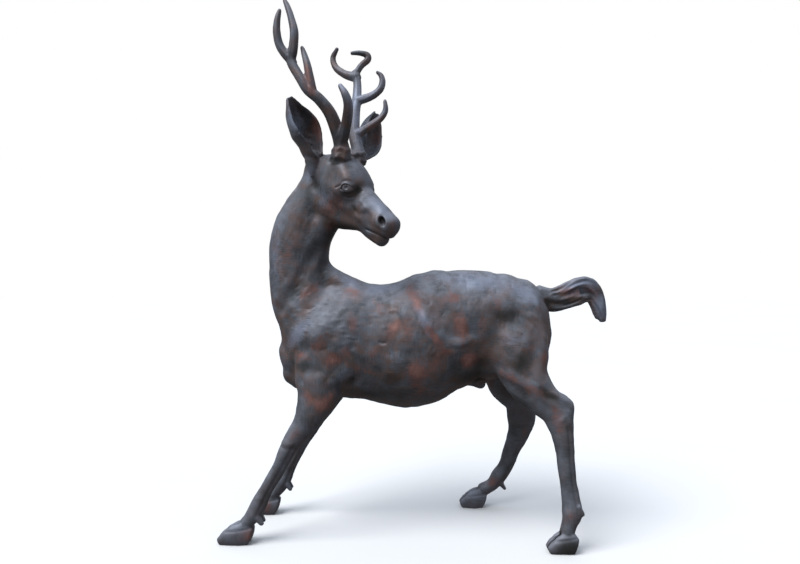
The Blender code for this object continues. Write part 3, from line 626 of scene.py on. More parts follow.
# Lines seen from the side: stations x, z, then width, height and, if only one has it, the side.
relief = {
    "lines": [
        ([(5, 96), (9, 86), (12.5, 81), (16.5, 75)], 3, 0.34),  # last rib
        ([(9.5, 94.5), (13, 86), (18.5, 78.5)], 2.6, -0.22),
        ([(18, 75.6), (21, 74.4), (24, 74.6), (27, 76)], 1.5, -0.28),  # flank fold
        ([(17, 78.4), (22, 76.8), (26, 77.2), (30, 79.4)], 2.4, 0.2),
        ([(18.5, 71.6), (24, 70), (29.5, 70.6), (34, 73.8)], 2.6, 0.22),
        ([(36, 67), (44, 63), (52, 58.6)], 2.8, 0.42),  # edge of the thigh
        ([(36, 63.6), (44, 59.4), (51, 55.4)], 2.6, -0.34),
        ([(-18, 68.2), (-23.4, 64.6), (-27.4, 58.4)], 2.8, 0.55),  # elbow
        ([(-16, 63.6), (-21, 59.8), (-23.8, 55)], 2.4, -0.3),
        ([(-38.5, 67), (-33, 65.4), (-27, 67.4)], 3.2, -0.24),  # under the shoulder
        ([(-38, 62.2), (-32.4, 62.4), (-27, 63.8)], 2.6, 0.08),
        ([(-37.5, 72.6), (-31, 70.8), (-24, 73.6)], 2.8, 0.22),
        ([(-48.5, 87), (-45.5, 76.4), (-46.5, 66)], 2.8, -0.3),
        ([(-17, 76.5), (-19.4, 73.6), (-17.6, 70.4)], 1.8, -0.3),  # behind the elbow
        ([(-6.4, 91.4), (-3.8, 80.6), (1, 70)], 2, -0.16),  # ribs
        ([(-1, 92.4), (1.6, 81.8), (6.4, 71)], 2, -0.16),
        ([(-8.6, 77.4), (-6.8, 76.5), (-4.8, 77)], 1, -0.3, left),  # a dent in the wax
        ([(32, 90.4), (39.5, 86.6), (47.5, 87.2)], 3.6, -0.12),  # below the hip
        ([(52, 85), (51, 76.4), (49.5, 68)], 2.4, -0.12),
        ([(36, 81), (42, 77), (45, 70)], 2.6, 0.26),
        ([(-48, 39.4), (-42.6, 38), (-37.4, 38.2)], 1.4, 0.12, left),  # knees
        ([(-48.2, 37.6), (-43, 36.2), (-37.8, 36.4)], 1.2, -0.16, left),
        ([(-45.8, 38.8), (-40.4, 37.4), (-35.6, 37.6)], 1.4, 0.12, right),
        ([(-46, 37), (-40.8, 35.6), (-35.8, 36)], 1.2, -0.16, right),
        ([(54, 58.4), (60, 56.8), (65, 53.4)], 1.4, 0.22, left),  # hocks
        ([(59, 46.6), (62, 49), (64, 45.4)], 1.5, 0.25, left),
        ([(50, 41.6), (54, 44), (58, 40.6)], 1.5, 0.25, right),
    ],
}


def onSide(clay, side):
    return (clay.points[:, 1] * side > 1) & (clay.normals[:, 1] * side > 0.1)


def carveRelief(clay):
    for side in both:
        chosen = onSide(clay, side)
        for stations, width, height, *sides in relief["lines"]:
            if side in (sides or both):
                clay.line(stations, width, height, chosen, sideView)
    clay.settle()


limbs = {
    "tendon": 0.38,  # how far behind a leg's middle its tendon groove lies, of the half depth
    "grooveWidth": 1,
    "grooveDepth": 0.32,
    "cleftWidth": 0.75,
    "cleftDepth": 0.7,
    # the rim of skin above a hoof: its height at the heel and how it falls, of the hoof's height
    "coronetHeight": 0.8,
    "coronetFall": 0.22,
    "coronetDepth": 0.16,
}


def carveLimbs(clay):
    for leg in legs.values():
        rows = flowing(leg[4:-1])
        run = unit(np.gradient(rows[:, [0, 2]], axis=0))
        behind = np.stack([-run[:, 1], run[:, 0]], 1)
        path = rows[:, [0, 2]] + behind * limbs["tendon"] * rows[:, 4:]
        onLeg = (np.abs(clay.points[:, 1] - rows[:, 1].mean()) < 8) & (clay.points[:, 2] < 52)
        onLeg &= np.abs(clay.normals[:, 1]) > 0.25
        clay.line(path, limbs["grooveWidth"], -limbs["grooveDepth"], onLeg, sideView)
    for tip, heel, y, height, _ in feet["hooves"]:
        x, z = clay.points[:, 0], clay.points[:, 2]
        share = (heel - x) / (heel - tip)
        hoof = (np.abs(clay.points[:, 1] - y) < 6) & (share > -0.3) & (share < 1.3) & (z < height)
        front = step((share - 0.3) / 0.25) * step((z + 1) / 1.5)
        cleft = bell((clay.points[:, 1] - y) / limbs["cleftWidth"]) * front
        rim = height * (limbs["coronetHeight"] - limbs["coronetFall"] * share)
        hairline = bell((z - rim) / 0.7) * step((z - 2) / 2)
        clay.heights -= hoof * (limbs["cleftDepth"] * cleft + limbs["coronetDepth"] * hairline)
    clay.settle()


# The eye's lids: level distance towards the nose and height from the middle of the eye.
eyes = {
    "middle": (26.1, 4.2),  # nosewards, browwards
    "ball": 3.4,
    "ballOut": 5.15,  # its middle, from the middle of the head
    "ballLean": -0.3,  # how it narrows towards the nose, with the head
    "upperLid": [(-2.3, -0.3), (-1.7, 0.8), (-0.4, 1.4), (0.9, 1.1), (1.7, 0.2), (1.9, -1)],
    "lowerLid": [(-2.3, -0.3), (-1.7, -1.2), (-0.6, -1.7), (0.6, -1.8), (1.4, -1.5), (1.9, -1)],
    "lidWidth": 0.9,
    "upperHeight": 0.3,
    "lowerHeight": 0.32,
    "lidEdge": 0.3,  # how softly the lids meet the ball
    "reach": 9,  # of all the carving round an eye
    "irisRadius": 1.3,
    "irisRise": 0.05,
    "pupilRadius": 0.62,
    "pupilDepth": 0.4,
    # stations, width, height
    "creases": [
        ([(-1.4, 1.1), (-2.8, 0.9), (-4.2, 0.5), (-5.6, 0.2)], 0.75, -0.28),
        ([(1.9, -0.6), (2.8, -0.9), (3.9, -1.8)], 1.5, -0.3),
        ([(-2.6, 1.7), (-0.4, 2.6), (1.8, 2.2), (3, 0.8)], 0.8, -0.18),
        ([(-2.7, -2.2), (-0.6, -3.2), (1.8, -2.9)], 0.8, -0.2),
        ([(-2.8, -3.2), (-0.6, -4.2), (2.6, -3.8)], 1.1, 0.12),
    ],
}


def carveEyes(clay):
    upper, lower = flowing(eyes["upperLid"], 6), flowing(eyes["lowerLid"], 6)
    middle = onHead(eyes["middle"][0], 0, eyes["middle"][1])
    plane = [level, upwards]
    base = np.array([middle @ level, middle @ upwards])
    for side in both:
        outwards = side * cheekwards
        spots = clay.points - middle
        u, v, w = spots @ level, spots @ upwards, spots @ outwards
        chosen = (np.hypot(u, v) < eyes["reach"]) & (w > 3.5)
        where = np.flatnonzero(chosen)
        u, v, w = u[where], v[where], w[where]
        for lid, height in (("upperLid", "upperHeight"), ("lowerLid", "lowerHeight")):
            stations = np.array(eyes[lid]) + base
            clay.line(stations, eyes["lidWidth"], eyes[height], chosen, plane, 0.12)
        for stations, width, height in eyes["creases"]:
            clay.line(np.array(stations) + base, width, height, chosen, plane, 0.3)
        lift = clay.heights[where].copy()
        clay.heights[where] = 0
        below = np.interp(u, upper[:, 0], upper[:, 1]) - v
        above = v - np.interp(u, lower[:, 0], lower[:, 1])
        within = step(below / eyes["lidEdge"] + 0.5) * step(above / eyes["lidEdge"] + 0.5)
        within *= (u > upper[0, 0]) & (u < upper[-1, 0])
        ball = eyes["ballOut"] + eyes["ballLean"] * u
        ball += np.sqrt(np.clip(eyes["ball"] ** 2 - u**2 - v**2, 0, None))
        ball += eyes["irisRise"] * bell((np.hypot(u, v) - eyes["irisRadius"]) / 0.5)
        ball -= eyes["pupilDepth"] * step((eyes["pupilRadius"] + 0.25 - np.hypot(u, v)) / 0.6)
        moved = (1 - within) * lift + within * (ball - w)
        clay.points[where] += moved[:, None] * outwards
        clay.carved[where] += np.where(within > 0.5, 0, lift)
    clay.settle()


# The muzzle: places along the head's axes.
muzzle = {
    "nostril": (44.8, 4.4, 3),
    "nostrilHalf": (2, 1.35),  # half its length and half its width
    "nostrilRun": (0.89, -0.45),  # nosewards and browwards along its length
    "nostrilDepth": 2.1,
    "nostrilWay": (0.88, 0.42, 0.1),  # where it faces: cheekwards, nosewards, browwards
    "rim": 0.26,
    # how high the mouth runs: nosewards, browwards
    "mouth": [(36.5, -4.8), (38.5, -4.4), (42, -3.5), (45.2, -2.4), (47.6, -1.9), (50, -2.2)],
    "mouthFrom": 39,  # nosewards, where its groove begins to sink in
    "mouthDepth": 0.5,
    "lip": 0.24,
    "corner": [(40.6, 4.6, -4.1), (38.6, 4.8, -4.5), (36.6, 4.9, -4.5)],
    "cornerDepth": 0.3,
}


def carveMuzzle(clay):
    for side in both:
        nose, cheek, brow = muzzle["nostril"]
        spots = clay.points - onHead(nose, side * cheek, brow)
        aside, ahead, above = muzzle["nostrilWay"]
        outwards = unit(aside * side * cheekwards + ahead * nosewards + above * browwards)
        run = muzzle["nostrilRun"][0] * nosewards + muzzle["nostrilRun"][1] * browwards
        lengthwise = unit(np.cross(np.cross(outwards, run), outwards))
        halfLong, halfWide = muzzle["nostrilHalf"]
        long = spots @ lengthwise
        wide = spots @ unit(np.cross(outwards, lengthwise))
        upper = spots @ unit(browwards + 0.5 * nosewards) / halfWide  # towards the bridge
        around = np.hypot(long / halfLong, wide / halfWide)
        facing = step((clay.normals @ outwards) / 0.3) * (np.abs(spots @ outwards) < 3)
        slack = 0.55 + 0.5 * step(upper / 2 + 0.4)
        hole = muzzle["nostrilDepth"] * step((1.1 - around) / slack) * facing
        rim = muzzle["rim"] * bell((around - 1.45) / 0.75) * step(0.8 - upper / 3) * facing
        clay.points -= hole[:, None] * outwards
        clay.carved -= hole
        clay.heights += rim
    spots = clay.points - onHead(0)
    nose, cheek, brow = spots @ nosewards, spots @ cheekwards, spots @ browwards
    mouth = np.array(muzzle["mouth"])
    onLips = (nose > 35) & (nose < 52) & (np.abs(cheek) < 9) & (np.abs(brow) < 12)
    off = brow - np.interp(nose, mouth[:, 0], mouth[:, 1])
    start = step((nose - muzzle["mouthFrom"]) / 2.4) * onLips
    clay.heights -= muzzle["mouthDepth"] * bell(off / 0.6) * start
    lips = bell((off - 1.4) / 1.3) + 0.6 * bell((off + 1.2) / 1.1)
    clay.heights += muzzle["lip"] * lips * start
    for side in both:
        corner = [onHead(a, side * b, c) for a, b, c in muzzle["corner"]]
        clay.line(corner, 1, -muzzle["cornerDepth"])
    clay.settle()


# Face: nosewards, outwards, browwards, then reach and height, on both sides.
face = {
    "dabs": [
        (29.4, 5.6, 4.6, 3.4, -0.5),  # before the eye
        (32.4, 5.4, -1.6, 2.6, -0.35),
        (36.2, 5, 2.7, 2.6, 0.4),  # crest of the cheekbone
        (35, 5.2, -2.4, 2.8, 0.4),  # above the corner of the mouth
        (35.6, 5, 1.6, 1.8, 0.3),
        (23, 6, 8.6, 4.4, 0.1),  # brow
        (17, 7, 7, 4, -0.15),
        (39.5, 4.6, 4.5, 3, -0.25),
        (24, 7.6, -5.8, 5, 0.4),  # cheek muscle
        (12, 7, -4, 4, -0.5),  # before the root of the ear
    ],
    "lines": [
        ([(30.5, 5.6, 3.6), (33.5, 5.2, 3.4), (37.5, 4.9, 2.9), (41, 4.7, 2.6)], 1.5, 0.3),
        ([(30, 6.2, 0.2), (33, 5.4, -1.2), (37, 4.9, -1)], 1.4, -0.3),
        ([(16, 7.6, -12.5), (23, 6.8, -11), (30, 5, -8.4)], 1.8, 0.35),  # jaw's edge
        ([(27.5, 6.2, -3.4), (24, 7.4, -1.4), (19, 8, -0.6)], 1.6, -0.3),
        ([(21, 7.6, 5.6), (25, 7, 7.2), (28.4, 5.4, 6.2)], 2, 0.12),  # edge of the brow
    ],
}


def carveFace(clay):
    dabFace(clay, face["dabs"])
    for stations, width, height in face["lines"]:
        for side in both:
            clay.line([onHead(a, side * b, c) for a, b, c in stations], width, height)
    clay.settle()


def ripple(points, wavelength, seed, waves=12):
    # a smooth random field, mostly from -1 to 1
    rng = np.random.default_rng(seed)
    ways = unit(rng.normal(size=(waves, 3))) * rng.uniform(0.7, 1.4, (waves, 1))
    phases = rng.uniform(0, 2 * math.pi, waves)
    return np.sin(points @ ways.T * 2 * math.pi / wavelength + phases).sum(1) / math.sqrt(waves)


burrs = {
    # round the foot of an antler: height of a ring, half width, lift
    "rings": [(2.3, 1, 0.2), (0.7, 1.2, -0.22), (-1.2, 0.9, 0.2), (-2.6, 1.1, -0.16)],
    "reach": 5.8,
    "pearlSize": 2.4,
    "pearlLift": 0.13,
}


def carveBurrs(clay):
    for side in both:
        spots = clay.points - np.array(antlers["burrs"][side])
        angle = np.arctan2(spots @ cheekwards, spots @ level)
        gap = np.hypot(spots @ cheekwards, spots @ level)
        close = step((burrs["reach"] - gap) / 1.4) * step((1.05 - np.abs(clay.normals[:, 2])) / 0.4)
        up = spots[:, 2] + 0.45 * np.sin(2 * angle + side) + 0.2 * np.sin(5 * angle)
        for height, half, lift in burrs["rings"]:
            beads = 1 + 0.35 * np.sin(8 * angle + 3 * height) * (lift > 0)
            clay.heights += lift * beads * bell((up - height) / half) * close
        pearls = ripple(clay.points, burrs["pearlSize"], 20 + side)
        clay.heights += burrs["pearlLift"] * pearls * bell(spots[:, 2] / 4.5) * close
    clay.settle()


def evenEars(clay):
    # the thin edges of the ears made smooth
    for leaf in ears["leaves"]:
        gap = np.min([clay.near(row[:3]) for row in flowing(leaf, 2)], axis=0)
        clay.even(step((9 - gap) / 2) * 0.9, 8)
    clay.settle()


def flute(clay, rows, across, count, depth, twist, seed):
    # lengthwise grooves round a branch, an ear or a lock
    reach = rows[:, 3:].max(1)
    low, high = (rows[:, :3] - 2 * reach[:, None]).min(0), (rows[:, :3] + 2 * reach[:, None]).max(0)
    where = np.flatnonzero(((clay.points > low) & (clay.points < high)).all(1))
    spots = clay.points[where]
    nearest, gap = np.zeros(len(spots), int), np.full(len(spots), np.inf)
    for i, row in enumerate(rows):
        far = np.linalg.norm(spots - row[:3], axis=1)
        closer = far < gap
        nearest[closer], gap[closer] = i, far[closer]
    along = courseOf(rows)
    side = squareTo(across, along)
    front = np.cross(along, side)
    off = spots - rows[nearest, :3]
    angle = np.arctan2((off * side[nearest]).sum(1), (off * front[nearest]).sum(1))
    place = np.concatenate([[0], np.cumsum(np.linalg.norm(np.diff(rows[:, :3], axis=0), axis=1))])
    run = place[nearest] + (off * along[nearest]).sum(1)
    wave = np.sin(count * angle + twist * run + seed) + 0.5 * np.sin((count + 3) * angle - run / 3)
    onIt = step((1.7 * reach[nearest] - gap) / (0.5 * reach[nearest]))
    ends = step(np.minimum(run, place[-1] - run) / 3 + 0.2)
    clay.heights[where] += depth * wave * onIt * ends


strands = {
    "antlerCount": 5,
    "antlerDepth": 0.07,
    "antlerTwist": 0.12,  # radians that the grooves turn for each centimetre of length
    "tailFrom": 56,  # x where the tail begins
    "tailCount": 4,
    "tailDepth": 0.2,
    "tailTwist": 0.2,
    # lines of hair seen from the side of the tail: x, z, then width and height
    "tailLines": [
        ([(58, 91), (64, 91.2), (69, 92.8), (73, 95.2), (77, 95.4), (79.8, 91.5)], 1.2, -0.25),
        ([(59, 93.2), (65, 94.2), (70, 96.4), (75.6, 97.8), (79.8, 94.6), (81.6, 88.6)], 1.1, -0.2),
        (
            [(60, 95.2), (66, 96.8), (72, 99.2), (77.6, 99.2), (81.6, 94.6), (82.8, 87.6)],
            0.9, -0.13,
        ),
        ([(61, 89.2), (67, 89.8), (71, 91.6), (74.6, 93.2)], 0.9, -0.17),
    ],
    "earCount": 4,
    "earDepth": 0.14,
}


def carveStrands(clay):
    for side in both:
        for i, branch in enumerate(antlers[side]):
            rows = flowing(antlerRows(side, branch))
            numbers = strands["antlerCount"], strands["antlerDepth"], strands["antlerTwist"] * side
            flute(clay, rows, cheekwards, *numbers, i)
    for i, lock in enumerate(tail["locks"]):
        numbers = strands["tailCount"], strands["tailDepth"], strands["tailTwist"]
        flute(clay, flowing(lock), bodyAcross, *numbers, i)
    behind = clay.points[:, 0] > strands["tailFrom"]
    for stations, width, height in strands["tailLines"]:
        for side in both:
            chosen = behind & (clay.normals[:, 1] * side > -0.2)
            clay.line(stations, width, height, chosen, sideView)
    for leaf in ears["leaves"]:
        rows = flowing(leaf)
        along = courseOf(rows)
        near = np.array([clay.near(row[:3]) for row in rows[::3]])
        closest, gap = 3 * near.argmin(0), near.min(0)
        hollow = squareTo(level, along)[closest]
        off = clay.points - rows[closest, :3]
        across = (off * np.cross(along[closest], hollow)).sum(1) / rows[closest, 3]
        inside = step(((clay.normals * hollow).sum(1) - 0.05) / 0.3) * (gap < 9)
        cups = step((1.0 - np.abs(across)) / 0.4) * step((rows[closest, 3] - 1.5) / 2)
        wave = np.sin(strands["earCount"] * math.pi * across + 0.2 * off @ upwards)
        clay.heights += strands["earDepth"] * wave * inside * cups
    clay.settle()


coat = {
    # short strokes of hair: middle x, z, reach, lean in degrees, how many, length
    "patches": [
        (-35, 95, 9, 30, 60, 5),  # foot of the neck
        (-28, 83, 9, 2, 70, 5),  # shoulder
        (-42, 82, 8, 62, 30, 6),
        (-40, 119, 13, 75, 60, 6),  # neck
        (-43, 104, 10, 80, 40, 6), (-32, 132, 9, 60, 30, 5),
        (3, 83, 9, 88, 44, 6),  # ribs
        (-13, 89, 12, -8, 50, 6),
        (22, 83, 11, 70, 50, 5),  # flank
        (41, 74, 13, -62, 50, 6),  # thigh
        (34, 92, 12, -84, 50, 5),  # hip
        (-32, 57, 8, -50, 24, 5), (53, 80, 8, -75, 30, 5),
        (8, 64, 12, -12, 40, 6),  # belly
    ],
    "width": 0.75,
    "depth": 0.1,
    "stray": 12,  # degrees that strokes stray from the lean of their patch
    "sag": 0.12,  # how far they bend, in parts of their length
    "taper": 0.35,  # share of a stroke that each end fades over
    "lumps": [(9, 0.12), (4.2, 0.05)],  # wavelength and height of the modelling
    # the modelling is fainter about the face and on all that is higher than this
    "faceReach": 14,
    "smoothAbove": 140,
    "seed": 7,
}


def carveCoat(clay):
    rng = np.random.default_rng(coat["seed"])
    for side in both:
        chosen = onSide(clay, side)
        for x, z, reach, lean, count, length in coat["patches"]:
            for _ in range(count):
                spread = rng.uniform(-1, 1, 2) * reach
                turn = math.radians(lean + rng.normal(0, coat["stray"]))
                run = np.array([math.cos(turn), math.sin(turn)]) * length * rng.uniform(0.5, 1)
                sag = np.array([-run[1], run[0]]) * rng.uniform(-coat["sag"], coat["sag"])
                start = np.array([x, z]) + spread - run / 2
                stations = [start, start + run / 2 + sag, start + run]
                depth = coat["depth"] * rng.uniform(0.4, 1.0) * rng.choice([-1, 0.8])
                clay.line(stations, coat["width"], depth, chosen, sideView, coat["taper"])
    onFace = step((coat["faceReach"] - np.abs(clay.points - onHead(28)).max(1)) / 4)
    smooth = np.maximum(onFace, step((clay.points[:, 2] - coat["smoothAbove"]) / 8))
    for seed, (wavelength, height) in enumerate(coat["lumps"]):
        swell = height * ripple(clay.points, wavelength, seed)
        clay.heights += swell * (1 - 0.75 * smooth)
    clay.settle()


def keepLayer(mesh, name, values):
    layer = mesh.attributes.new(name, "FLOAT", "POINT")
    layer.data.foreach_set("value", values)


def carveDetails(mesh):
    # everything cut into the skin once the forms are one; how far each point moved is kept
    clay = Clay(mesh)
    carveRelief(clay)
    carveLimbs(clay)
    carveFace(clay)
    carveEyes(clay)
    carveMuzzle(clay)
    carveBurrs(clay)
    evenEars(clay)
    carveStrands(clay)
    carveCoat(clay)
    keepLayer(mesh, "carved", clay.carved)


def cutSoles(mesh):
    # flat soles at the height of the ground, with all faces as triangles
    bm = bmesh.new()
    bm.from_mesh(mesh)
    everything = [*bm.verts, *bm.edges, *bm.faces]
    ground = {"plane_co": (0, 0, 0), "plane_no": (0, 0, 1)}
    bmesh.ops.bisect_plane(bm, geom=everything, dist=1e-6, clear_inner=True, **ground)
    rims = [edge for edge in bm.edges if edge.is_boundary]
    bmesh.ops.edgeloop_fill(bm, edges=rims)
    bmesh.ops.triangulate(bm, faces=[face for face in bm.faces if len(face.verts) > 3])
    bmesh.ops.recalc_face_normals(bm, faces=bm.faces)
    bm.to_mesh(mesh)
    bm.free()


def fitted(points, box):
    low, high = np.array(box[0]), np.array(box[1])
    least, most = points.min(0), points.max(0)
    return low + (points - least) * (high - low) / (most - least)


def castStag():
    print("melting body, head and legs together")
    flesh = melted(meshOf(fleshForms()), casting["fleshVoxel"], casting["fleshPasses"])
    carveMuscles(Clay(flesh))
    flesh = changed(flesh, ("SUBSURF", {"levels": 1, "render_levels": 1}))
    print("melting on antlers, ears, tail and hooves")
    forms = [formOf(flesh), *fineForms()]
    whole = melted(meshOf(forms), casting["fineVoxel"], casting["finePasses"])
    splitNear(whole, casting["splitOnce"])
    splitNear(whole, [(onHead(*spot), reach) for spot, reach in casting["splitTwice"]])
    print("carving", len(whole.vertices), "points")
    carveDetails(whole)
    whole = changed(whole, ("TRIANGULATE", {}))
    share = casting["triangles"] / len(whole.polygons)
    if share < 1:
        whole = changed(whole, ("DECIMATE", {"ratio": share}))
    cutSoles(whole)
    print("thinned to", len(whole.polygons), "triangles")
    return whole


def spread(clay, values, passes):
    for _ in range(passes):
        values = (values + clay.around(values[:, None])[:, 0]) / 2
    return values


marking = {
    "farDrift": 3,  # how far a patch lies from its place on the other side of the stag
    "reach": 1.6,  # where a patch fades out, in parts of its half length and half width
    # small hollows and broad ones: passes of smoothing that level them, depth of a full one
    "hollows": [(6, 0.18), (60, 1.1)],
}


def patched(clay, spots):
    # soft oval patches seen from the side
    amount = np.zeros(len(clay.points))
    for i, (x, z, long, short, lean, strength) in enumerate(spots):
        for side in both:
            drift = marking["farDrift"] * (side == right)
            middle = x + drift * math.sin(5 * i), z + drift * math.cos(7 * i)
            away = clay.oval(*middle, long, short, lean + 6 * drift)
            facing = step(clay.normals[:, 1] * side * 1.5 + 0.4)
            amount = np.maximum(amount, strength * bell(away / marking["reach"]) * facing)
    return amount


# The wax and paint on the iron, with painted highlights and painted shade among its patches.
# Patches: x, z, half length, half width, lean, strength.
patinaAndPaintedLight = {
    "rubbed": [
        (-35.2, 96.5, 7, 1.6, 32, 0.6),  # along the fold of the neck
        (-18.8, 95.8, 3.9, 2.2, -15, 0.6), (-8.9, 90.7, 3.5, 1.8, 110, 0.5),
        (5.6, 93.9, 6.2, 2.2, 112, 0.8),  # down the ribs
        (3.3, 80.7, 8, 2, 92, 0.45), (13.2, 79, 6, 1.5, 128, 1), (17.5, 73.3, 4, 1.8, -25, 0.7),
        (13.6, 69.2, 3.2, 2.4, 0, 0.5), (19.4, 93.9, 4.2, 3, 0, 0.65),
        (23.3, 82.7, 6.2, 2.8, 98, 0.8),  # flank
        (26.2, 69.8, 3.4, 3, 20, 1), (31, 83.3, 4, 2, 90, 0.45), (37.4, 92, 3.2, 1.6, 85, 0.5),
        (6.5, 65.3, 4.8, 4.2, 90, 1),  # belly
        (9, 57.5, 5, 2.6, 0, 0.4), (-2.4, 82.3, 4, 2, 48, 0.8), (-10.2, 71.7, 4, 1.8, 80, 0.6),
        (-14.6, 66, 5, 2.4, 10, 0.45), (-18.2, 83.9, 4.2, 2.3, 90, 0.8),
        (-38.4, 71.6, 2.4, 1.6, 0, 0.95),  # shoulder
        (-25.6, 69.8, 3.4, 2.6, 30, 0.95), (-21.1, 73.7, 2.8, 1.8, 40, 0.75),
        (-32, 75.6, 3.8, 2.2, 45, 0.6),
        (-35, 55.6, 3.4, 1.4, -35, 0.9),  # forearm
        (-30.4, 52.8, 2.6, 2, 0, 1), (-27, 56, 3.2, 1.5, 45, 0.9),
        (42, 63.6, 5, 1.9, -30, 0.7),  # edge of the thigh
        (51, 59, 5.4, 1.9, -28, 0.8), (49, 73, 4, 2.6, 60, 0.35), (55.4, 71.7, 3, 1.7, 90, 0.7),
        (-25.2, 129.5, 5, 4, 20, 0.6),  # cheek
        (-26.6, 121.5, 3, 2, 30, 0.6), (-43, 112, 6, 3, 60, 0.4),
        (-32.5, 160, 6, 2.6, 105, 0.7),  # ears
        (-10, 160, 4, 2.6, 90, 0.6), (-21.5, 149, 5, 2.4, 0, 0.2), (-15, 149, 5, 2.4, 0, 0.3),
        (-33.5, 171.5, 4, 2, 120, 0.7), (-34.3, 176.5, 4.5, 1.4, 100, 0.7),
        (-57.5, 4, 3.4, 3, 60, 0.9),  # heels and hocks
        (59, 48, 6, 2.4, 95, 0.7),
        (69.5, 96, 6, 1.8, 5, 0.6),  # tail
        (77, 97, 4, 2, -20, 0.6), (-40, 42, 4, 2.2, 60, 0.5), (62.5, 14, 3.6, 2.6, 90, 0.6),
        (41, 12, 3.6, 2.6, 40, 0.7), (54, 36, 5, 2.4, 70, 0.6),
    ],
    # bluish wear and painted highlights, on the shoulder, back, rump and other places that look lit
    "silveredAndHighlit": [
        (-39.4, 80.1, 8.5, 3.2, 50, 1),  # point of the shoulder
        (-8, 97.4, 8, 2.4, 5, 0.9),
        (-19.5, 99.5, 7, 2.6, -25, 0.9),  # withers
        (30, 100, 16, 4, -5, 0.9),  # back and rump
        (49, 95.5, 8, 4, -30, 0.9),
        (8.4, 86, 9, 1.6, 115, 1.1),  # beside the ribs
        (13, 85, 4, 4, 0, 0.4), (-1.8, 71.5, 5, 3.6, 0, 0.45), (43, 77.5, 6, 2.6, 10, 0.6),
        (-21, 64, 5.4, 2.6, 30, 0.8),  # elbow
        (-32.5, 61.5, 6, 2.4, -5, 0.4),
        (-60.5, 6.5, 5, 3.2, -40, 0.5),  # hooves
        (33, 6, 5, 3, -20, 0.5),
        (81.5, 90, 6, 3.4, 110, 1),  # tail
        (73, 98, 8, 3, 10, 1.4),
        (-49, 112, 18, 3.4, 88, 0.6),  # front of the neck
        (-18.5, 141.5, 7, 4, -20, 0.3),  # forehead
        (-28, 131.3, 4, 4, 0, 0.6), (-40, 162, 7, 2.6, 100, 0.9), (-7.5, 127.5, 9, 2.6, -45, 0.8),
        (-35, 142, 4, 3, 60, 0.8),
        (-16.5, 166, 16, 3, 92, 0.8),  # near antler
        (-18, 176, 12, 6, 40, 1),
    ],
    # soot and painted shade, in folds, under forms and in places that look shaded
    "sootyAndShaded": [
        (-17.5, 91.5, 7.5, 2.8, -5, 0.8), (-1.8, 93.9, 3.4, 3, 60, 0.5),
        (39.3, 87.1, 9, 2.8, 5, 0.9),  # below the hip
        (44, 83, 6, 2.6, 0, 0.6), (12, 71.8, 5, 1.8, 0, 0.6), (-3.7, 62.7, 5, 3, 0, 0.7),
        (20.7, 67.2, 2.6, 2.6, 0, 0.7), (31, 67.9, 4, 4, 0, 0.7), (46.3, 70, 5.4, 4, 60, 1.2),
        (55.9, 56.4, 6, 4, -40, 1.1), (62.6, 38, 14, 3, 90, 0.7), (62, 2.5, 6, 4, 0, 1.2),
        (-36.8, 67.6, 7, 2.4, -3, 1.2),  # under the shoulder
        (-17.8, 72, 2.6, 3, 0, 0.7),
        (-38.2, 98.6, 11, 2.6, 52, 0.9),  # fold of the neck
        (-30, 105, 7, 4, 70, 0.8), (-27, 117.5, 7, 3.4, 60, 0.8), (-8, 56.5, 16, 3.4, 0, 0.7),
        (28, 63, 8, 3.4, 10, 0.8), (46, 54, 8, 4, -30, 0.7), (-20.5, 133, 3.2, 2, 0, 0.5),
        (-15.6, 135, 2.6, 2.6, 0, 0.9),  # before the eye
        (-17.5, 128.6, 3.4, 1.8, -30, 0.5),
        (-23.5, 121.5, 9, 2, -12, 0.8),  # under the jaw
        (-26.5, 92, 7, 5, 0, 0.7),
        (-21.5, 149.5, 4, 2.2, 0, 0.6),  # burrs and antlers
        (-14.5, 148.5, 4, 2.2, 0, 0.6), (-20, 163, 10, 3, 95, 0.6), (-39, 187, 16, 4, 85, 0.6),
        (55, 70, 9, 2.4, 90, 0.5),
    ],
}


def markPatinaAndPaintedLight(mesh):
    # how hollow, raised and rubbed each point is, and how far it is worn bright with painted
    # highlights or darkened with soot and painted shade, for the finish
    clay = Clay(mesh)
    carved = np.empty(len(mesh.vertices), np.float32)
    mesh.attributes["carved"].data.foreach_get("value", carved)
    bowl = 0
    for passes, depth in marking["hollows"]:
        flat = clay.points.copy()
        for _ in range(passes):
            flat = (flat + clay.around(flat)) / 2
        bowl = bowl + spread(clay, ((flat - clay.points) * clay.normals).sum(1), 2) / depth
    bowl = spread(clay, bowl, 8)
    carved = spread(clay, carved, 3)
    # hollow places get painted shade in the finish, and raised ones a little painted light
    masks = {
        "hollow": step(0.5 * bowl + np.clip(-carved, 0, 1) * 0.9),
        "raised": step(-0.5 * bowl + np.clip(carved, 0, 1) * 0.6),
    }
    for name, spots in patinaAndPaintedLight.items():
        masks[name] = spread(clay, patched(clay, spots), 4)
    for name, values in masks.items():
        keepLayer(mesh, name, values)
        print(name, "covers", round(float(values.mean()), 3))
    mesh.attributes.remove(mesh.attributes["carved"])


class Wire:
    # an output of a node, which sums and products can be written with
    def __init__(self, finish, socket):
        self.finish, self.socket = finish, socket

    def maths(self, operation, first, second):
        return self.finish.node("ShaderNodeMath", {"operation": operation}, {0: first, 1: second})

    def __add__(self, other):
        return self.maths("ADD", self, other)

    def __radd__(self, other):
        return self.maths("ADD", other, self)

    def __sub__(self, other):
        return self.maths("SUBTRACT", self, other)

    def __rsub__(self, other):
        return self.maths("SUBTRACT", other, self)

    def __mul__(self, other):
        return self.maths("MULTIPLY", self, other)

    def __rmul__(self, other):
        return self.maths("MULTIPLY", other, self)

    def clear(self, low, high):
        # smoothly 0 under low and 1 over high
        settings = {"interpolation_type": "SMOOTHSTEP"}
        sockets = {"Value": self, "From Min": low, "From Max": high}
        return self.finish.node("ShaderNodeMapRange", settings, sockets)


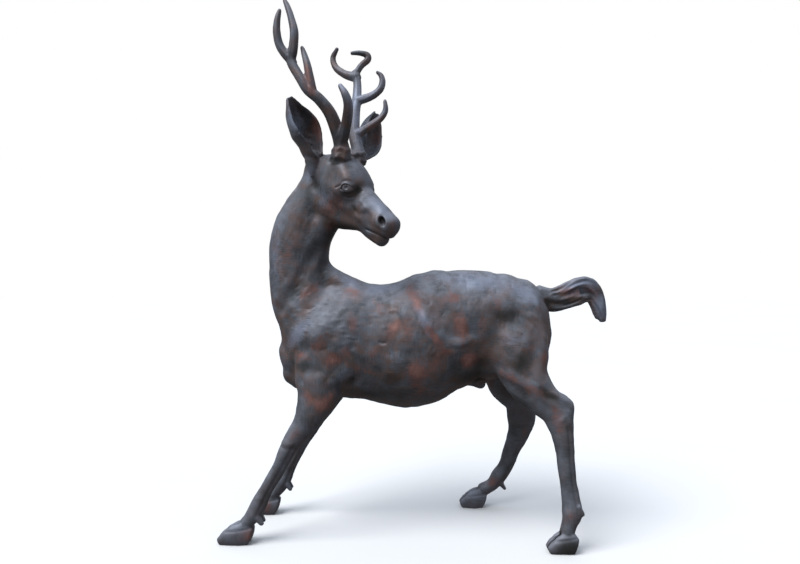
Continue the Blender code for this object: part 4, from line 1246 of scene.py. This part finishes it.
class Finish:
    # the nodes of a material or of the world
    def __init__(self, owner):
        self.owner = owner
        owner.use_nodes = True
        self.tree = owner.node_tree
        self.tree.nodes.clear()

    def node(self, kind, settings, sockets, output=0):
        made = self.tree.nodes.new(kind)
        for name, value in settings.items():
            setattr(made, name, value)
        for name, value in sockets.items():
            if isinstance(value, Wire):
                self.tree.links.new(value.socket, made.inputs[name])
            else:
                made.inputs[name].default_value = value
        return Wire(self, made.outputs[output]) if made.outputs else None

    def place(self):
        return self.node("ShaderNodeTexCoord", {}, {}, "Object")

    def attribute(self, name):
        return self.node("ShaderNodeAttribute", {"attribute_name": name}, {}, "Fac")

    def scaled(self, vector, sizes):
        return self.node("ShaderNodeVectorMath", {"operation": "MULTIPLY"}, {0: vector, 1: sizes})

    def noise(self, where, scale, detail=4.0, rough=0.55, warp=0.0):
        sockets = {"Vector": where, "Scale": scale, "Detail": detail, "Roughness": rough}
        sockets["Distortion"] = warp
        return self.node("ShaderNodeTexNoise", {}, sockets)

    def mixed(self, share, first, second):
        # colours by share: 0 gives the first and 1 the second
        sockets = {0: share, 6: first, 7: second}
        return self.node("ShaderNodeMix", {"data_type": "RGBA"}, sockets, 2)

    def covered(self, sockets):
        # a plain surface with these inputs, put out; returns the material
        skin = self.node("ShaderNodeBsdfPrincipled", {}, sockets)
        self.node("ShaderNodeOutputMaterial", {}, {"Surface": skin})
        return self.owner

    def bumped(self, height, strength, distance, normal=None):
        sockets = {"Height": height, "Strength": strength, "Distance": distance}
        if normal:
            sockets["Normal"] = normal
        return self.node("ShaderNodeBump", {}, sockets)


ironPatinaAndPaintedLight = {
    "graphite": (0.044, 0.046, 0.050, 1),
    "slate": (0.115, 0.125, 0.152, 1),
    "umber": (0.108, 0.070, 0.059, 1),
    "rust": (0.190, 0.090, 0.076, 1),
    # bluish grey for wear and painted highlights
    "ember": (0.290, 0.172, 0.156, 1),  # the brightest of the red
    "silverAndHighlight": (0.225, 0.262, 0.350, 1),
    # near black for soot and painted shade
    "sootAndShade": (0.017, 0.018, 0.015, 1),
    # pale grey for dust and painted light on the tops
    "dustAndTopLight": (0.230, 0.245, 0.290, 1),  # on faces that look up
    "metallic": 0.35,
    "specular": 0.35,
    "grain": 320,  # lumps of the sand casting per metre
    "grainDepth": 0.0004,
    "brushDepth": 0.0009,
    "scratchDepth": 0.0003,
}


def ironFinishWithPaintedLight():
    finish = Finish(bpy.data.materials.new("patinated_iron_with_painted_light"))
    where = finish.place()
    names = "hollow", "raised", "rubbed", "silveredAndHighlit", "sootyAndShaded"
    hollow, raised, rubbed, silveredAndHighlit, sootyAndShaded = (finish.attribute(name) for name in names)
    facing = finish.node("ShaderNodeNewGeometry", {}, {}, "Normal")
    facingUp = finish.node("ShaderNodeSeparateXYZ", {}, {"Vector": facing}, "Z")

    cloud = finish.noise(where, 7, 4, 0.5, 0.3)
    mottle = finish.noise(where, 20, 5, 0.5, 0.5)
    blotch = finish.noise(where, 11, 5, 0.55, 0.8)
    speckle = finish.noise(where, 110, 4, 0.6)
    streakAlong = finish.noise(finish.scaled(where, (20, 60, 70)), 1, 4, 0.6, 0.6)
    streakDown = finish.noise(finish.scaled(where, (70, 60, 20)), 1, 4, 0.6, 0.6)
    scratch = finish.noise(finish.scaled(where, (260, 200, 30)), 1, 3, 0.6, 0.4)
    strokes = streakAlong * 0.5 + streakDown * 0.5
    # fine strokes of hair, here along the body and there down it
    hairAlong = finish.noise(finish.scaled(where, (34, 120, 230)), 1, 3, 0.6, 0.8)
    hairDown = finish.noise(finish.scaled(where, (230, 120, 34)), 1, 3, 0.6, 0.8)
    height = finish.node("ShaderNodeSeparateXYZ", {}, {"Vector": where}, "Z")
    onLegs = height.clear(0.60, 0.35)
    turned = (finish.noise(where, 5, 2, 0.5) + height.clear(1.45, 1.55)).clear(0.46, 0.56)
    hair = hairAlong + (hairDown - hairAlong) * turned

    # raised places a little paler as painted light, hollows a little darker as painted shade
    pale = cloud * 0.5 + mottle * 0.25 + hair * 0.3 + raised * 0.1 - hollow * 0.1
    colour = finish.mixed(pale.clear(0.36, 0.70), ironPatinaAndPaintedLight["graphite"], ironPatinaAndPaintedLight["slate"])
    brown = (blotch * 0.7 + strokes * 0.4).clear(0.48, 0.66)
    colour = finish.mixed(brown * (0.75 - onLegs * 0.5), colour, ironPatinaAndPaintedLight["umber"])
    # dust and painted light: faces that look up are paler, as if lit from above
    dustyAndTopLit = facingUp.clear(-0.1, 0.95) * (strokes * 0.5 + mottle * 0.5).clear(0.3, 0.62)
    colour = finish.mixed(dustyAndTopLit * 0.85, colour, ironPatinaAndPaintedLight["dustAndTopLight"])
    # bluish wear and painted highlights, on the patches and a little on raised places
    silveryAndHighlit = (silveredAndHighlit * 0.75 + raised * 0.08 + hair * 0.55 + mottle * 0.3).clear(0.55, 1.3)
    colour = finish.mixed(silveryAndHighlit * 0.75, colour, ironPatinaAndPaintedLight["silverAndHighlight"])
    worn = rubbed * 0.6 + blotch * 0.5 + strokes * 0.5 + hair * 0.55 + speckle * 0.1
    worn = worn - hollow * 0.15 - onLegs * 0.12
    colour = finish.mixed(worn.clear(0.84, 1.35) * 0.9, colour, ironPatinaAndPaintedLight["rust"])
    colour = finish.mixed(worn.clear(1.12, 1.65) * 0.8, colour, ironPatinaAndPaintedLight["ember"])
    # soot and painted shade: darker in hollows, on faces that look down and in the sooty patches
    darkShadeAndSoot = (hollow * 0.5 + sootyAndShaded * 0.65 + mottle * 0.3 - facingUp * 0.2).clear(0.28, 0.96)
    colour = finish.mixed(darkShadeAndSoot * 0.85, colour, ironPatinaAndPaintedLight["sootAndShade"])

    roughness = 0.52 + mottle * 0.16 + darkShadeAndSoot * 0.12 - silveryAndHighlit * 0.08
    lumps = finish.noise(where, 70, 3, 0.5)
    shape = finish.bumped(lumps * 0.4 + strokes * 0.4 + hair * 0.6, 0.7, ironPatinaAndPaintedLight["brushDepth"])
    shape = finish.bumped(scratch, 0.25, ironPatinaAndPaintedLight["scratchDepth"], shape)
    grain = finish.noise(where, ironPatinaAndPaintedLight["grain"], 4, 0.6)
    shape = finish.bumped(grain, 0.5, ironPatinaAndPaintedLight["grainDepth"], shape)
    sockets = {"Base Color": colour, "Roughness": roughness, "Normal": shape}
    sockets["Metallic"] = ironPatinaAndPaintedLight["metallic"]
    sockets["Specular IOR Level"] = ironPatinaAndPaintedLight["specular"]
    return finish.covered(sockets)


print("stage: casting")
mesh = castStag()
markPatinaAndPaintedLight(mesh)
points = fitted(Clay(mesh).points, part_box("stag"))
mesh.vertices.foreach_set("co", points.ravel())
mesh.polygons.foreach_set("use_smooth", np.ones(len(mesh.polygons), bool))
mesh.set_sharp_from_angle(angle=math.radians(casting["sharpAngle"]))
mesh.materials.append(ironFinishWithPaintedLight())
stag = added("cast_stag", mesh)
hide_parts("stag")
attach(stag, "root")

# The studio, in metres from the middle of the casting's footprint.
studio = {
    "floorRadius": 40,
    "floor": (0.74, 0.75, 0.76, 1),
    "floorShade": 0.97,  # how much duller it is in places
    "backdrop": (1, 1, 1, 1),
    "zenith": (0.8, 0.88, 1, 1),
    "horizon": (0.42, 0.44, 0.48, 1),
    "ground": (0.22, 0.2, 0.19, 1),
    "skyStrength": 1,
    "keyWay": (-1, -0.75, 1.7),  # where the light comes from
    "keySpread": 38,  # degrees
    "keyStrength": 3,
    "cameraPlace": (-0.074, -2.532, 1),
    "lens": 27.95,  # millimetres, as is the sensor's width
    "sensor": 36,
}


def floorFinish():
    finish = Finish(bpy.data.materials.new("pale_floor"))
    where = finish.place()
    cloud = finish.noise(where, 0.6, 3)
    grain = finish.noise(where, 60, 3)
    pale = studio["floor"]
    duller = tuple(value * studio["floorShade"] for value in pale[:3]) + (1,)
    colour = finish.mixed(cloud.clear(0.3, 0.7), pale, duller)
    sockets = {"Base Color": colour, "Roughness": 0.75 + grain * 0.15}
    sockets["Normal"] = finish.bumped(grain, 0.1, 0.0005)
    return finish.covered(sockets)


def studioLight():
    # light from above and the left; the camera sees a plain pale backdrop
    finish = Finish(bpy.data.worlds.new("studio"))
    way = finish.node("ShaderNodeTexCoord", {}, {}, "Generated")
    split = {"Vector": way}
    up = finish.node("ShaderNodeSeparateXYZ", {}, split, "Z")
    aside = finish.node("ShaderNodeSeparateXYZ", {}, split, "X")
    light = finish.mixed(up.clear(-0.25, 0.05), studio["ground"], studio["horizon"])
    share = up.clear(0.0, 1.0) * 0.8 - aside * 0.25
    light = finish.mixed(share.clear(0.0, 1.0), light, studio["zenith"])
    seen = finish.node("ShaderNodeLightPath", {}, {}, "Is Camera Ray")
    light = finish.mixed(seen, light, studio["backdrop"])
    sockets = {"Color": light, "Strength": studio["skyStrength"]}
    glow = finish.node("ShaderNodeBackground", {}, sockets)
    finish.node("ShaderNodeOutputWorld", {}, {"Surface": glow})
    return finish.owner


def setStudio():
    low, high = (np.array(corner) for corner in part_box("stag"))
    middle = np.array([(low[0] + high[0]) / 2, 0, low[2]])
    bm = bmesh.new()
    bmesh.ops.create_circle(bm, cap_ends=True, radius=studio["floorRadius"], segments=96)
    floorMesh = bpy.data.meshes.new("floor")
    bm.to_mesh(floorMesh)
    bm.free()
    floorMesh.materials.append(floorFinish())
    floor = added("floor", floorMesh)
    floor.location = middle
    floor.visible_diffuse = floor.visible_glossy = False

    lamp = bpy.data.lights.new("key", "SUN")
    lamp.angle = math.radians(studio["keySpread"])
    lamp.energy = studio["keyStrength"]
    key = added("key", lamp)
    key.location = studio["keyWay"]
    key.rotation_euler = key.location.to_track_quat("Z", "Y").to_euler()
    bpy.context.scene.world = studioLight()

    eye = bpy.data.cameras.new("camera")
    eye.lens = studio["lens"]
    eye.sensor_width = studio["sensor"]
    camera = added("camera", eye)
    camera.location = middle + studio["cameraPlace"]
    camera.rotation_euler = (math.radians(90), 0, 0)  # level
    bpy.context.scene.camera = camera
    bpy.context.scene.view_settings.view_transform = "Standard"


print("stage: studio")
setStudio()
